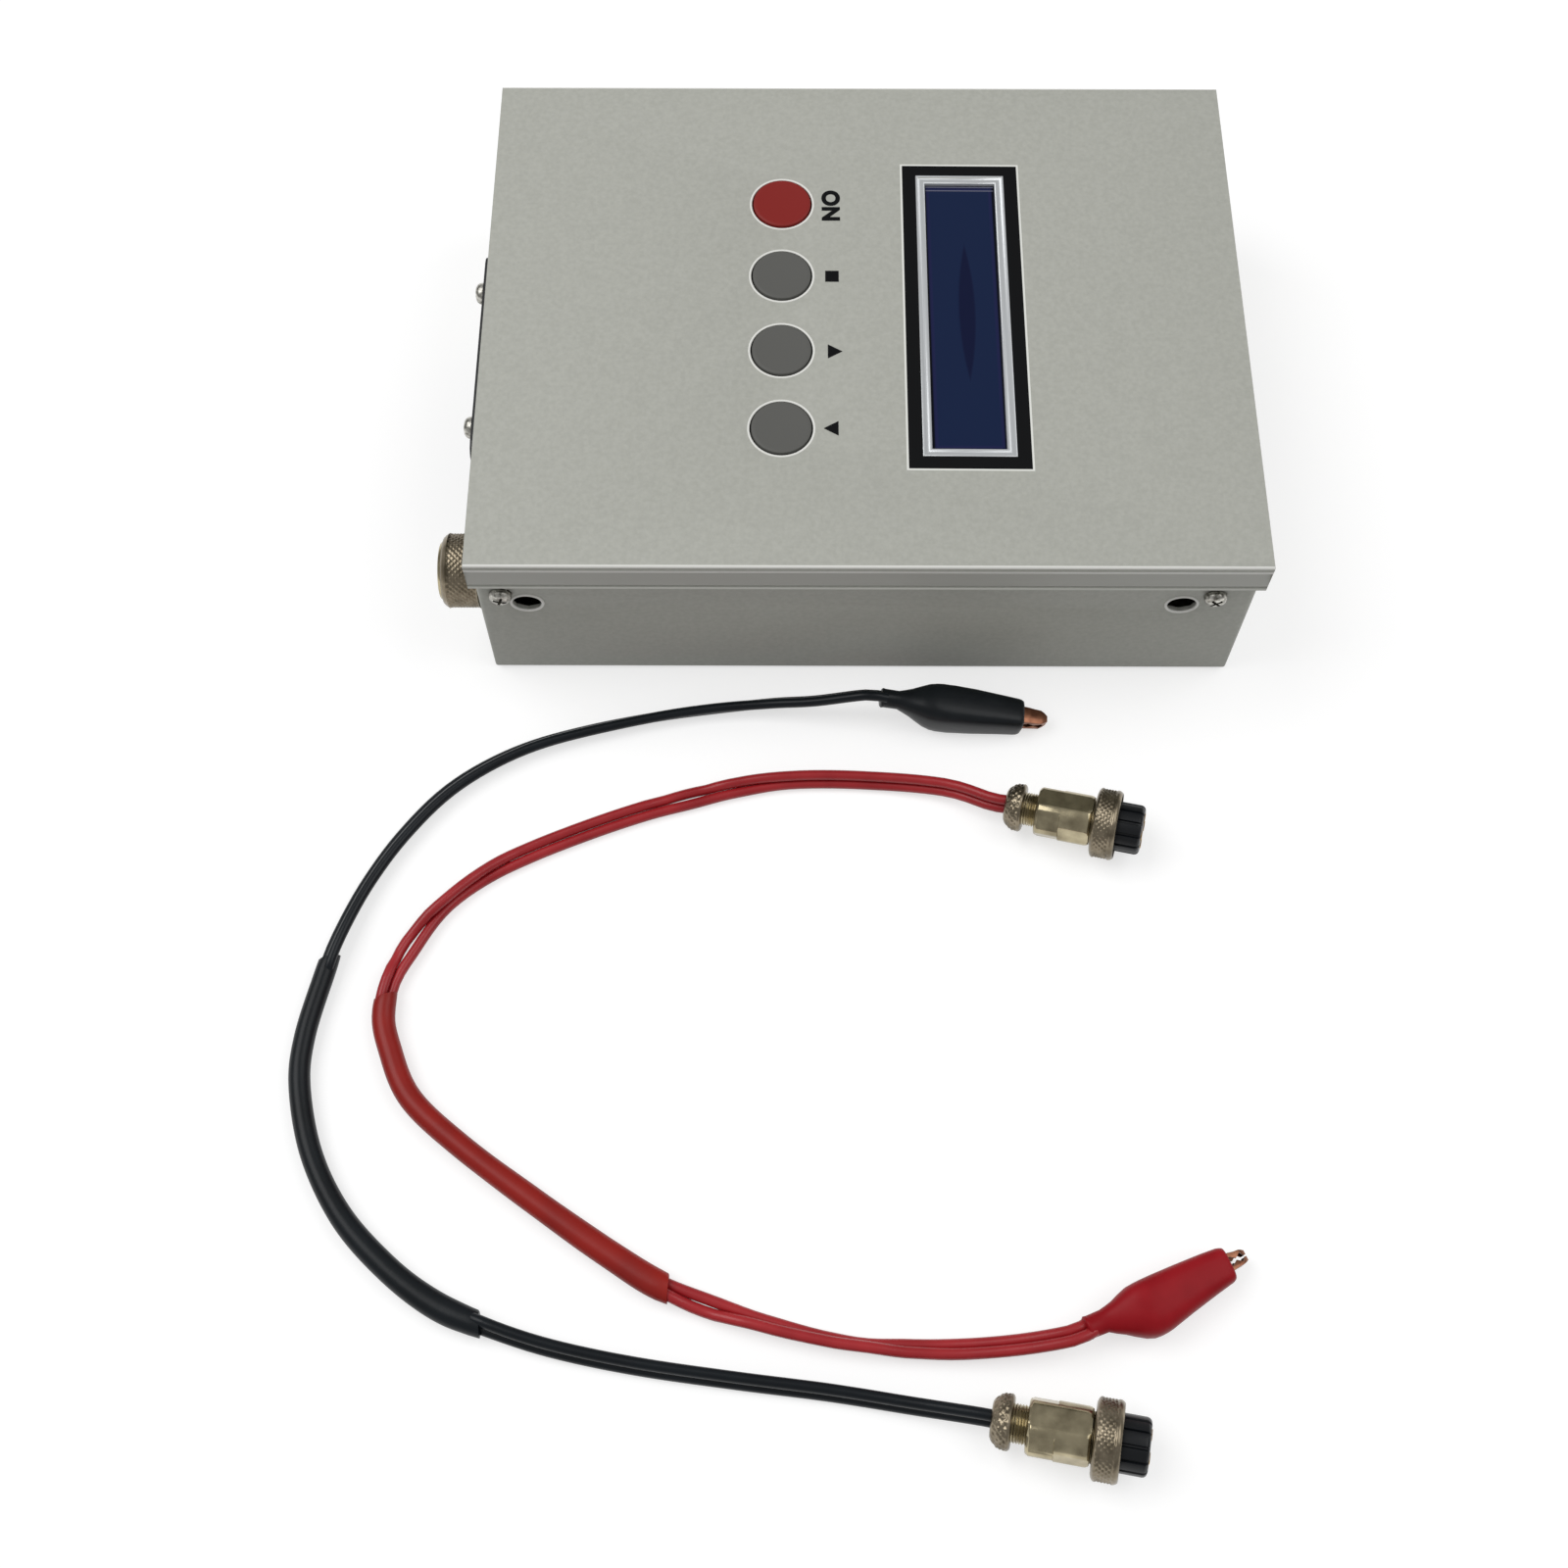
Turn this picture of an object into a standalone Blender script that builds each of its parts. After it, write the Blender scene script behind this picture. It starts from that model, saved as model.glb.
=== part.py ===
# Bench battery tester: sheet-metal case with display, buttons and fan, and two loose clip leads.
# Metres, +Z up. The origin is the middle of the tester's footprint on the table. The front faces -Y.
# Everything is placed from the middle of the case, which the empty "tester" carries.
import math

import bmesh
import bpy
from mathutils import Matrix, Vector

# Clearances
GAP = 0.0003
WALL_DROP = 0.0007
SCREW_PLAY = 0.00025
RUNNING_PLAY = 0.0004

# Length of a facet on a round surface, and the fewest and most facets round one
FACET = 0.0025
FEWEST_FACETS = 8
MOST_FACETS = 28

# Case
CASE_WIDTH = 0.150
CASE_DEPTH = 0.1155
CASE_HEIGHT = 0.0425
SHEET = 0.001
END_OVERHANG = 0.0008
LIP_HEIGHT = 0.0076
COVER_BEND = 0.0014
TRAY_BEND = 0.0015
FOOT_HEIGHT = 0.002
FOOT_RADIUS = 0.0045
FOOT_INSET = 0.014

# Case screws, the round holes beside the front pair, and the cover's tabs that the screws hold.
# An inset is measured from the nearer end of the case.
CASE_SCREW_LEFT_INSET = 0.006
CASE_SCREW_RIGHT_INSET = 0.0086
CASE_SCREW_DROP = 0.0125
CASE_SCREW_LENGTH = 0.0055
SIDE_HOLE_LEFT_INSET = 0.011
SIDE_HOLE_RIGHT_INSET = 0.0144
SIDE_HOLE_DROP = 0.0142
SIDE_HOLE_RADIUS = 0.0028
TAB_MARGIN = 0.0034
TAB_SET_BACK = 0.0025

# Small screws
SCREW_RADIUS = 0.00145
SCREW_HEAD_RADIUS = 0.0026
SCREW_HEAD_HEIGHT = 0.0016

# Display, measured from the case's left end. The cover laps over its frame, and the frame slopes
# down to the glass.
DISPLAY_INSET = 0.095
LCD_FRAME_WIDTH = 0.0246
LCD_FRAME_LENGTH = 0.0713
LCD_FRAME_HEIGHT = 0.006
LCD_FRAME_WALL = 0.0008
LCD_SIDE_LAP = 0.00345
LCD_END_LAP = 0.00205
LCD_SIDE_SLOPE = 0.0017
LCD_END_SLOPE = 0.0015
LCD_BEVEL_DEPTH = 0.0012
LCD_BEVEL_MARGIN = 0.0003

# Buttons, measured from the case's left end, and the switches under them
BUTTON_NAMES = ("power_button", "set_button", "up_button", "down_button")
BUTTON_INSET = 0.0588
BUTTON_FIRST_Y = 0.0267
BUTTON_PITCH = 0.018
BUTTON_RADIUS = 0.0058
BUTTON_PROUD = 0.0005
BUTTON_CHAMFER = 0.0004
BUTTON_TRAVEL = 0.0006
BUTTON_FLANGE = 0.001
BUTTON_FLANGE_HEIGHT = 0.0008
BUTTON_STEM_RADIUS = 0.0017
SWITCH_SIZE = 0.012
SWITCH_HEIGHT = 0.004
SWITCH_BORE_DEPTH = 0.0034

# Display and keypad board, hung on studs under the cover
BOARD_THICKNESS = 0.0016
KEYPAD_LEFT_MARGIN = 0.0083
KEYPAD_RIGHT_MARGIN = 0.0022
KEYPAD_END_MARGIN = 0.00585
STUD_RADIUS = 0.002
STUD_MARGIN = 0.0035

# Main board on the tray's posts, its distances from the tray's walls, and what stands on it
MAIN_LEFT_MARGIN = 0.0152
MAIN_RIGHT_MARGIN = 0.0112
MAIN_FRONT_MARGIN = 0.00945
MAIN_BACK_MARGIN = 0.00545
POST_HEIGHT = 0.005
POST_RADIUS = 0.0025
POST_MARGIN = 0.004
SINK_STANDOFF = 0.0039
SINK_LENGTH = 0.033
SINK_HEIGHT = 0.028
SINK_BASE = 0.004
SINK_REACH = 0.030
SINK_FINS = 8
SINK_FIN = 0.0014
TRANSISTOR_WIDTH = 0.0156
TRANSISTOR_THICKNESS = 0.005
TRANSISTOR_HEIGHT = 0.020
TRANSISTOR_LEG = 0.004
TRANSISTOR_LEG_WIDTH = 0.0012
TRANSISTOR_LEG_PITCH = 0.00545
CAPACITOR_X = 0.012
CAPACITOR_INSET = 0.020
CAPACITOR_RADIUS = 0.0065
CAPACITOR_HEIGHT = 0.020
JACK_INSET = 0.037
JACK_WIDTH = 0.009
JACK_HEIGHT = 0.011
JACK_DEPTH = 0.0125
JACK_BORE = 0.0032
JACK_BORE_DEPTH = 0.009
JACK_PIN = 0.00105

# Fan inside the left end wall, behind the side socket, with its guard outside
FAN_SET_BACK = 0.0388
FAN_SIZE = 0.040
FAN_DEPTH = 0.010
FAN_CORNER = 0.003
FAN_BORE = 0.0187
FAN_SCREW_PITCH = 0.032
FAN_HUB = 0.0102
FAN_STRUT = 0.0024
FAN_STRUT_DEPTH = 0.0018
FAN_TIP_PLAY = 0.0008
FAN_BLADES = 7
FAN_BLADE = 0.0009
GUARD_LENGTH = 0.048
GUARD_HEIGHT = 0.0388
GUARD_THICKNESS = 0.0013
GUARD_CORNER = 0.003
GUARD_BAR = 0.0016
GUARD_SLOT = 0.0038
GUARD_SLOTS = 3
GUARD_SPOKES = 4
GUARD_SPOKE = 0.0022

# Vents in the right end wall
VENT_COUNT = 9
VENT_PITCH = 0.006
VENT_WIDTH = 0.0022
VENT_HEIGHT = 0.022

# Round connectors: two sockets on the case, one plug on each lead
THREAD_RADIUS = 0.0059
SOCKET_REACH = 0.0084
SOCKET_TAIL = 0.009
SOCKET_WALL = 0.0007
SOCKET_CAVITY = 0.0072
SOCKET_FLANGE = 0.0074
SOCKET_FLANGE_DEPTH = 0.0015
SOCKET_NUT_RADIUS = 0.0069
SOCKET_NUT_LENGTH = 0.0056
SOCKET_PIN_RADIUS = 0.0006
SOCKET_PIN_CIRCLE = 0.0026
SOCKET_PIN_LENGTH = 0.0035
SIDE_SOCKET_INSET = 0.01095
REAR_SOCKET_INSET = 0.030
PLUG_CLAMP_LENGTH = 0.0038
PLUG_CLAMP_RADIUS = 0.0047
PLUG_NECK_LENGTH = 0.0017
PLUG_NECK_RADIUS = 0.0033
PLUG_SHELL_LENGTH = 0.0111
PLUG_SHELL_RADIUS = 0.0049
PLUG_FACET_LENGTH = 0.0048
PLUG_NOSE_LENGTH = 0.0018
PLUG_NOSE_RADIUS = 0.0042
PLUG_NUT_LENGTH = 0.0047
PLUG_NUT_RADIUS = 0.0068
PLUG_NUT_WEB = 0.0012
PLUG_NUT_ROUNDING = 0.0008
PLUG_INSERT_LENGTH = 0.0076
PLUG_INSERT_RADIUS = 0.0048
PLUG_RIB_DEPTH = 0.0004

# Clips: boot, two jaws, pivot pin and spring
CLIP_PIVOT = 0.0165
BOOT_LIP = 0.0277
BOOT_WALL = 0.0005
JAW_SHEET = 0.0004
JAW_HALF_WIDTH = 0.00195
JAW_EDGE = 0.00015
TOOTH_DEPTH = 0.0007
TOOTH_PITCH = 0.0025
JAW_NOSE = 0.0172
CLIP_PIN_RADIUS = 0.00075
CLIP_PIN_HEAD = 0.0014
CLIP_PIN_HEAD_HEIGHT = 0.0005
SPRING_WIRE = 0.00025
SPRING_RADIUS = 0.0015
SPRING_TURNS = 2

# Leads on the table: diameters, where the sleeve starts and ends, and each end's place and heading
WIRE_DIAMETER = 0.0028
SLEEVE_DIAMETER = 0.0044
ROUTE_STEP = 0.008
RED_PLUG_PLACE = (0.0277, -0.0883)
RED_PLUG_HEADING = -14.4
RED_CLIP_PLACE = (0.0376, -0.1868)
RED_CLIP_HEADING = 27.0
RED_SLEEVE_SPAN = (0.147, 0.222)
BLACK_PLUG_PLACE = (0.0199, -0.2004)
BLACK_PLUG_HEADING = -10.6
BLACK_CLIP_PLACE = (0.0034, -0.0663)
BLACK_CLIP_HEADING = -5.4
BLACK_SLEEVE_SPAN = (0.090, 0.178)

# Cord routes, from the plug to the clip, as points chosen by hand between the two ends
RED_ROUTE = (
    (0.0157, -0.0850, 0.0028), (0.0000, -0.0824, 0.0016), (-0.0174, -0.0822, 0.0016),
    (-0.0348, -0.0852, 0.0016), (-0.0537, -0.0915, 0.0016), (-0.0703, -0.1008, 0.0016),
    (-0.0809, -0.1108, 0.0022), (-0.0875, -0.1205, 0.0025), (-0.0900, -0.1290, 0.0024),
    (-0.0890, -0.1365, 0.0024), (-0.0848, -0.1460, 0.0024), (-0.0756, -0.1557, 0.0024),
    (-0.0608, -0.1658, 0.0024), (-0.0464, -0.1742, 0.0024), (-0.0359, -0.1796, 0.0025),
    (-0.0221, -0.1850, 0.0018), (-0.0051, -0.1890, 0.0016), (0.0102, -0.1916, 0.0018),
    (0.0240, -0.1915, 0.0034),
)
BLACK_ROUTE = (
    (0.0066, -0.1976, 0.0026), (-0.0068, -0.1957, 0.0016), (-0.0237, -0.1938, 0.0016),
    (-0.0407, -0.1913, 0.0016), (-0.0561, -0.1881, 0.0021), (-0.0682, -0.1849, 0.0025),
    (-0.0770, -0.1821, 0.0024), (-0.0861, -0.1763, 0.0024), (-0.0948, -0.1671, 0.0024),
    (-0.1012, -0.1558, 0.0024), (-0.1042, -0.1433, 0.0024), (-0.1042, -0.1341, 0.0024),
    (-0.1021, -0.1228, 0.0024), (-0.0992, -0.1151, 0.0026), (-0.0946, -0.1043, 0.0018),
    (-0.0879, -0.0942, 0.0016), (-0.0791, -0.0853, 0.0016), (-0.0680, -0.0777, 0.0016),
    (-0.0546, -0.0726, 0.0016), (-0.0352, -0.0682, 0.0016), (-0.0190, -0.0659, 0.0030),
    (-0.0095, -0.0653, 0.0056),
)

# Heights and places that follow
CASE_BASE = FOOT_HEIGHT
CASE_TOP = CASE_BASE + CASE_HEIGHT
FLOOR_TOP = CASE_BASE + SHEET
COVER_UNDER = CASE_TOP - SHEET
WALL_TOP = COVER_UNDER - WALL_DROP
CASE_MIDDLE = (FLOOR_TOP + COVER_UNDER) / 2
TRAY_HALF_X = CASE_WIDTH / 2 - END_OVERHANG
TRAY_HALF_Y = CASE_DEPTH / 2 - SHEET - GAP
INNER_HALF_X = TRAY_HALF_X - SHEET
INNER_HALF_Y = TRAY_HALF_Y - SHEET
CASE_SCREW_LEFT_X = CASE_SCREW_LEFT_INSET - CASE_WIDTH / 2
CASE_SCREW_RIGHT_X = CASE_WIDTH / 2 - CASE_SCREW_RIGHT_INSET
CASE_SCREW_Z = CASE_TOP - CASE_SCREW_DROP
SIDE_HOLE_LEFT_X = SIDE_HOLE_LEFT_INSET - CASE_WIDTH / 2
SIDE_HOLE_RIGHT_X = CASE_WIDTH / 2 - SIDE_HOLE_RIGHT_INSET
SIDE_HOLE_Z = CASE_TOP - SIDE_HOLE_DROP
SCREW_HOLE = SCREW_RADIUS + SCREW_PLAY
DISPLAY_X = DISPLAY_INSET - CASE_WIDTH / 2
BUTTON_X = BUTTON_INSET - CASE_WIDTH / 2
WINDOW_WIDTH = LCD_FRAME_WIDTH - 2 * LCD_SIDE_LAP
WINDOW_LENGTH = LCD_FRAME_LENGTH - 2 * LCD_END_LAP
LCD_VIEW_WIDTH = WINDOW_WIDTH - 2 * LCD_SIDE_SLOPE
LCD_VIEW_LENGTH = WINDOW_LENGTH - 2 * LCD_END_SLOPE
BUTTON_LAST_Y = BUTTON_FIRST_Y - (len(BUTTON_NAMES) - 1) * BUTTON_PITCH
BUTTON_ROW_REACH = max(BUTTON_FIRST_Y, -BUTTON_LAST_Y) + BUTTON_RADIUS + BUTTON_FLANGE
KEYPAD_LEFT = BUTTON_X - KEYPAD_LEFT_MARGIN
KEYPAD_RIGHT = DISPLAY_X + LCD_FRAME_WIDTH / 2 + KEYPAD_RIGHT_MARGIN
KEYPAD_LENGTH = 2 * (max(LCD_FRAME_LENGTH / 2, BUTTON_ROW_REACH) + KEYPAD_END_MARGIN)
LCD_TOP = COVER_UNDER - GAP
KEYPAD_TOP = LCD_TOP - LCD_FRAME_HEIGHT - GAP
KEYPAD_UNDER = KEYPAD_TOP - BOARD_THICKNESS
MAIN_UNDER = FLOOR_TOP + POST_HEIGHT + GAP
MAIN_TOP = MAIN_UNDER + BOARD_THICKNESS
ON_BOARD = MAIN_TOP + GAP
MAIN_LEFT = MAIN_LEFT_MARGIN - INNER_HALF_X
MAIN_RIGHT = INNER_HALF_X - MAIN_RIGHT_MARGIN
MAIN_FRONT = MAIN_FRONT_MARGIN - INNER_HALF_Y
MAIN_BACK = INNER_HALF_Y - MAIN_BACK_MARGIN
SIDE_SOCKET_Y = SIDE_SOCKET_INSET - CASE_DEPTH / 2
REAR_SOCKET_X = REAR_SOCKET_INSET - CASE_WIDTH / 2
FAN_Y = SIDE_SOCKET_Y + FAN_SET_BACK
SINK_RIGHT = GAP + FAN_DEPTH + SINK_STANDOFF + SINK_LENGTH - INNER_HALF_X
SINK_BACK = FAN_Y + SINK_REACH / 2 + SINK_BASE
CAPACITOR_Y = MAIN_BACK - CAPACITOR_INSET
JACK_X = CASE_WIDTH / 2 - JACK_INSET
CAVITY_RADIUS = THREAD_RADIUS - SOCKET_WALL
SLEEVE_HOLE = THREAD_RADIUS + GAP
REACH_LEFT = TRAY_HALF_X + SOCKET_REACH
REACH_BACK = TRAY_HALF_Y + SOCKET_REACH
CASE_X = (REACH_LEFT - CASE_WIDTH / 2) / 2
CASE_Y = (CASE_DEPTH / 2 - REACH_BACK) / 2

for old in list(bpy.data.objects):
    bpy.data.objects.remove(old)


# Building blocks
def material(name, colour, roughness, metallic=0.0):
    """Principled material in linear RGB."""
    made = bpy.data.materials.new(name)
    made.use_nodes = True
    shader = made.node_tree.nodes["Principled BSDF"]
    shader.inputs["Base Color"].default_value = (*colour, 1.0)
    shader.inputs["Roughness"].default_value = roughness
    shader.inputs["Metallic"].default_value = metallic
    return made


def empty(name, place=(0.0, 0.0, 0.0), turn=(0.0, 0.0, 0.0), parent=None):
    holder = bpy.data.objects.new(name, None)
    bpy.context.collection.objects.link(holder)
    holder.location = place
    holder.rotation_euler = turn
    holder.parent = parent
    return holder


def make(name, bm, smooth=0.0):
    """Turn a bmesh into an object, with smooth shading up to the given angle in degrees."""
    bmesh.ops.recalc_face_normals(bm, faces=bm.faces)
    mesh = bpy.data.meshes.new(name)
    bm.to_mesh(mesh)
    bm.free()
    if smooth:
        mesh.shade_smooth()
        mesh.set_sharp_from_angle(angle=math.radians(smooth))
    obj = bpy.data.objects.new(name, mesh)
    bpy.context.collection.objects.link(obj)
    return obj


def place(obj, parent, look, location=(0.0, 0.0, 0.0), turn=(0.0, 0.0, 0.0)):
    """Give an object its parent, material and position."""
    obj.parent = parent
    obj.location = location
    obj.rotation_euler = turn
    obj.data.materials.clear()
    obj.data.materials.append(look)
    return obj


def loft(name, rings, closed=False, smooth=0.0):
    """Skin rings of equal point count; an open skin gets end caps, a closed one joins its ends."""
    bm = bmesh.new()
    loops = [[bm.verts.new(point) for point in ring] for ring in rings]
    pairs = list(zip(loops, loops[1:] + loops[:1])) if closed else list(zip(loops, loops[1:]))
    for first, second in pairs:
        count = len(first)
        for i in range(count):
            j = (i + 1) % count
            bm.faces.new((first[i], first[j], second[j], second[i]))
    if not closed:
        bm.faces.new(loops[0])
        bm.faces.new(loops[-1])
    return make(name, bm, smooth)


def facets(radius):
    """Number of facets round a circle, a multiple of four."""
    wanted = 4 * round(2 * math.pi * radius / FACET / 4)
    return max(FEWEST_FACETS, min(MOST_FACETS, wanted))


def circle(x, radius, count, limit=None):
    """Ring round the X axis; limit(angle) may hold the radius back, as a flat or a groove does."""
    ring = []
    for i in range(count):
        angle = 2 * math.pi * (i + 0.5) / count
        reach = radius if limit is None else min(radius, limit(angle))
        ring.append((x, reach * math.cos(angle), reach * math.sin(angle)))
    return ring


def turned(name, profile, count=0, closed=False, limit=None, smooth=40.0):
    """Turn a profile of (x, radius) round the X axis. A closed profile makes a ring or a tube."""
    count = count or facets(max(radius for _, radius in profile))
    return loft(name, [circle(x, radius, count, limit) for x, radius in profile], closed, smooth)


def flats(number, across, phase=0.0):
    """Limit for circle: so many flats at the given distance from the axis."""
    step = 2 * math.pi / number

    def reach(angle):
        offset = (angle - phase + step / 2) % step - step / 2
        return across / math.cos(offset)

    return reach


def prism(name, outline, low, high, axis="Z", smooth=0.0):
    """Extrude a 2D outline along an axis, from low to high."""
    def point(a, b, c):
        return {"X": (c, a, b), "Y": (a, c, b), "Z": (a, b, c)}[axis]

    return loft(name, [[point(a, b, c) for a, b in outline] for c in (low, high)], smooth=smooth)


def rectangle(low, high):
    return [(low[0], low[1]), (high[0], low[1]), (high[0], high[1]), (low[0], high[1])]


def rounded(low, high, radius, steps=3):
    """Rectangle outline with round corners."""
    corners = ((high[0] - radius, high[1] - radius, 0), (low[0] + radius, high[1] - radius, 90),
               (low[0] + radius, low[1] + radius, 180), (high[0] - radius, low[1] + radius, 270))
    outline = []
    for x, y, start in corners:
        for i in range(steps + 1):
            angle = math.radians(start + 90 * i / steps)
            outline.append((x + radius * math.cos(angle), y + radius * math.sin(angle)))
    return outline


def box(name, low, high):
    return prism(name, rectangle(low[:2], high[:2]), low[2], high[2])


def rod(name, start, axis, length, radius):
    """Cylinder from a start point along X, Y or Z; a negative length runs the other way."""
    count = facets(radius)
    ring = [(radius * math.cos(2 * math.pi * i / count), radius * math.sin(2 * math.pi * i / count))
            for i in range(count)]
    a, b, c = {"X": (start[1], start[2], start[0]), "Y": (start[0], start[2], start[1]),
               "Z": (start[0], start[1], start[2])}[axis]
    return prism(name, [(a + u, b + v) for u, v in ring], c, c + length, axis)


def combine(obj, others, operation):
    """Apply one Boolean for each of the others, then remove them."""
    for other in others:
        step = obj.modifiers.new(other.name, "BOOLEAN")
        step.operation = operation
        step.object = other
        step.solver = "EXACT"
    bpy.context.view_layer.update()
    graph = bpy.context.evaluated_depsgraph_get()
    result = bpy.data.meshes.new_from_object(obj.evaluated_get(graph))
    obj.modifiers.clear()
    obj.data = result
    for other in others:
        bpy.data.objects.remove(other)
    return obj


def cut(obj, *others):
    return combine(obj, others, "DIFFERENCE")


def join(obj, *others):
    return combine(obj, others, "UNION")


def bevel(bm, radius, steps, wanted):
    edges = [edge for edge in bm.edges if wanted(edge)]
    bmesh.ops.bevel(bm, geom=edges, offset=radius, segments=steps, profile=0.5, affect="EDGES")


def pan(name, low, high, radius, steps):
    """Box with every edge rounded but those of its top, as a bent and folded tray has."""
    bm = bmesh.new()
    bmesh.ops.create_cube(bm, size=1.0)
    size = [b - a for a, b in zip(low, high)]
    middle = [(a + b) / 2 for a, b in zip(low, high)]
    stretch_to = Matrix.Translation(middle) @ Matrix.Diagonal((*size, 1.0))
    bmesh.ops.transform(bm, matrix=stretch_to, verts=bm.verts)
    bevel(bm, radius, steps, lambda edge: not all(v.co.z > middle[2] for v in edge.verts))
    return make(name, bm)


# Materials
COAT = material("grey_powder_coat", (0.40, 0.40, 0.36), 0.55)
STEEL = material("zinc_plated_steel", (0.55, 0.55, 0.53), 0.35, 1.0)
BLACK_PLASTIC = material("black_plastic", (0.015, 0.016, 0.018), 0.5)
GREY_CAP = material("grey_button_plastic", (0.12, 0.12, 0.12), 0.5)
RED_CAP = material("red_button_plastic", (0.26, 0.018, 0.018), 0.45)
RUBBER = material("black_rubber", (0.02, 0.02, 0.02), 0.85)
LCD_METAL = material("display_frame_metal", (0.58, 0.60, 0.61), 0.4, 0.6)
LCD_BLUE = material("blue_display_glass", (0.012, 0.018, 0.062), 0.12)
BOARD_GREEN = material("green_circuit_board", (0.02, 0.14, 0.05), 0.5)
ALUMINIUM = material("aluminium_extrusion", (0.62, 0.62, 0.62), 0.4, 1.0)
NICKEL = material("nickel_plated_brass", (0.30, 0.27, 0.20), 0.35, 1.0)
CAN_BLUE = material("capacitor_sleeve", (0.03, 0.05, 0.16), 0.4)
RED_PVC = material("red_pvc", (0.30, 0.018, 0.018), 0.4)
RED_SHRINK = material("red_heat_shrink", (0.28, 0.012, 0.008), 0.55)
BLACK_PVC = material("black_pvc", (0.012, 0.014, 0.017), 0.4)
COPPER = material("copper_plated_steel", (0.42, 0.18, 0.09), 0.4, 1.0)

tester = empty("tester", (CASE_X, CASE_Y, 0.0))


# Case
def tray_posts():
    """Centres of the posts under the main board."""
    xs = (MAIN_LEFT + POST_MARGIN, MAIN_RIGHT - POST_MARGIN)
    ys = (MAIN_FRONT + POST_MARGIN, MAIN_BACK - POST_MARGIN)
    return [(x, y) for x in xs for y in ys]


def fan_screw_places():
    """Height and depth of the fan's four screws."""
    half = FAN_SCREW_PITCH / 2
    return [(FAN_Y + side * half, CASE_MIDDLE + up * half) for up in (1, -1) for side in (1, -1)]


def build_tray():
    tray = pan("base_tray", (-TRAY_HALF_X, -TRAY_HALF_Y, CASE_BASE), (TRAY_HALF_X, TRAY_HALF_Y, WALL_TOP),
               TRAY_BEND, 3)
    pocket = pan("pocket", (-INNER_HALF_X, -INNER_HALF_Y, FLOOR_TOP),
                 (INNER_HALF_X, INNER_HALF_Y, CASE_TOP), TRAY_BEND - SHEET, 1)
    cut(tray, pocket)
    root = SHEET / 2
    join(tray, *(rod("post", (x, y, FLOOR_TOP - root), "Z", POST_HEIGHT + root, POST_RADIUS)
                 for x, y in tray_posts()))
    outside = SHEET
    through = 3 * SHEET
    cutters = []
    for x in (CASE_SCREW_LEFT_X, CASE_SCREW_RIGHT_X):
        for side in (-1, 1):
            start = (x, side * (TRAY_HALF_Y + outside), CASE_SCREW_Z)
            cutters.append(rod("screw_hole", start, "Y", -side * through, SCREW_HOLE))
    for x in (SIDE_HOLE_LEFT_X, SIDE_HOLE_RIGHT_X):
        start = (x, -TRAY_HALF_Y - outside, SIDE_HOLE_Z)
        cutters.append(rod("side_hole", start, "Y", through, SIDE_HOLE_RADIUS))
    for y, z in fan_screw_places():
        cutters.append(rod("fan_screw_hole", (-TRAY_HALF_X - outside, y, z), "X", through, SCREW_HOLE))
    cutters.append(rod("fan_hole", (-TRAY_HALF_X - outside, FAN_Y, CASE_MIDDLE), "X", through, FAN_BORE))
    cutters.append(rod("side_socket_hole", (-TRAY_HALF_X - outside, SIDE_SOCKET_Y, CASE_MIDDLE), "X",
                       through, SLEEVE_HOLE))
    cutters.append(rod("rear_socket_hole", (REAR_SOCKET_X, TRAY_HALF_Y + outside, CASE_MIDDLE), "Y",
                       -through, SLEEVE_HOLE))
    cutters.append(rod("jack_hole", (JACK_X, TRAY_HALF_Y + outside, ON_BOARD + JACK_HEIGHT / 2), "Y",
                       -through, JACK_BORE + SHEET))
    first = -VENT_PITCH * (VENT_COUNT - 1) / 2
    for i in range(VENT_COUNT):
        y = first + i * VENT_PITCH
        outline = rounded((y - VENT_WIDTH / 2, CASE_MIDDLE - VENT_HEIGHT / 2),
                          (y + VENT_WIDTH / 2, CASE_MIDDLE + VENT_HEIGHT / 2), VENT_WIDTH / 2.2, 1)
        cutters.append(prism("vent", outline, TRAY_HALF_X - 2 * SHEET, TRAY_HALF_X + outside, "X"))
    cut(tray, *cutters)
    place(tray, tester, COAT)


def cover_outline():
    """Cross-section of the bent cover: flat top, round bends, lips down the front and the back."""
    half = CASE_DEPTH / 2
    lip = CASE_TOP - LIP_HEIGHT
    steps = 3
    outline = []
    for side, start in ((1, 0), (-1, 90)):
        centre = side * (half - COVER_BEND)
        arc = [math.radians(start + 90 * i / steps) for i in range(steps + 1)]
        points = [(centre + COVER_BEND * math.cos(a), CASE_TOP - COVER_BEND + COVER_BEND * math.sin(a))
                  for a in arc]
        outline += [(half, lip)] + points if side > 0 else points + [(-half, lip)]
    inner = COVER_BEND - SHEET
    inside = [(-half + SHEET, lip)]
    for side, start in ((-1, 180), (1, 90)):
        centre = side * (half - COVER_BEND)
        arc = [math.radians(start - 90 * i / steps) for i in range(steps + 1)]
        inside += [(centre + inner * math.cos(a), CASE_TOP - COVER_BEND + inner * math.sin(a)) for a in arc]
    inside.append((half - SHEET, lip))
    return outline + inside


def tab_span(screw_x, hole_x):
    """Left and right edges of one of the cover's tabs, which stops short of the hole beside its screw."""
    toward_hole = math.copysign(1.0, hole_x - screw_x)
    return sorted((screw_x - toward_hole * TAB_MARGIN, hole_x - toward_hole * TAB_SET_BACK))


def stud_places():
    """Centres of the studs that carry the keypad board."""
    half = KEYPAD_LENGTH / 2 - STUD_MARGIN
    xs = (KEYPAD_LEFT + STUD_MARGIN, KEYPAD_RIGHT - STUD_MARGIN)
    return [(x, side * half) for x in xs for side in (-1, 1)]


def button_places():
    return [(BUTTON_X, BUTTON_FIRST_Y - i * BUTTON_PITCH) for i in range(len(BUTTON_NAMES))]


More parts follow.
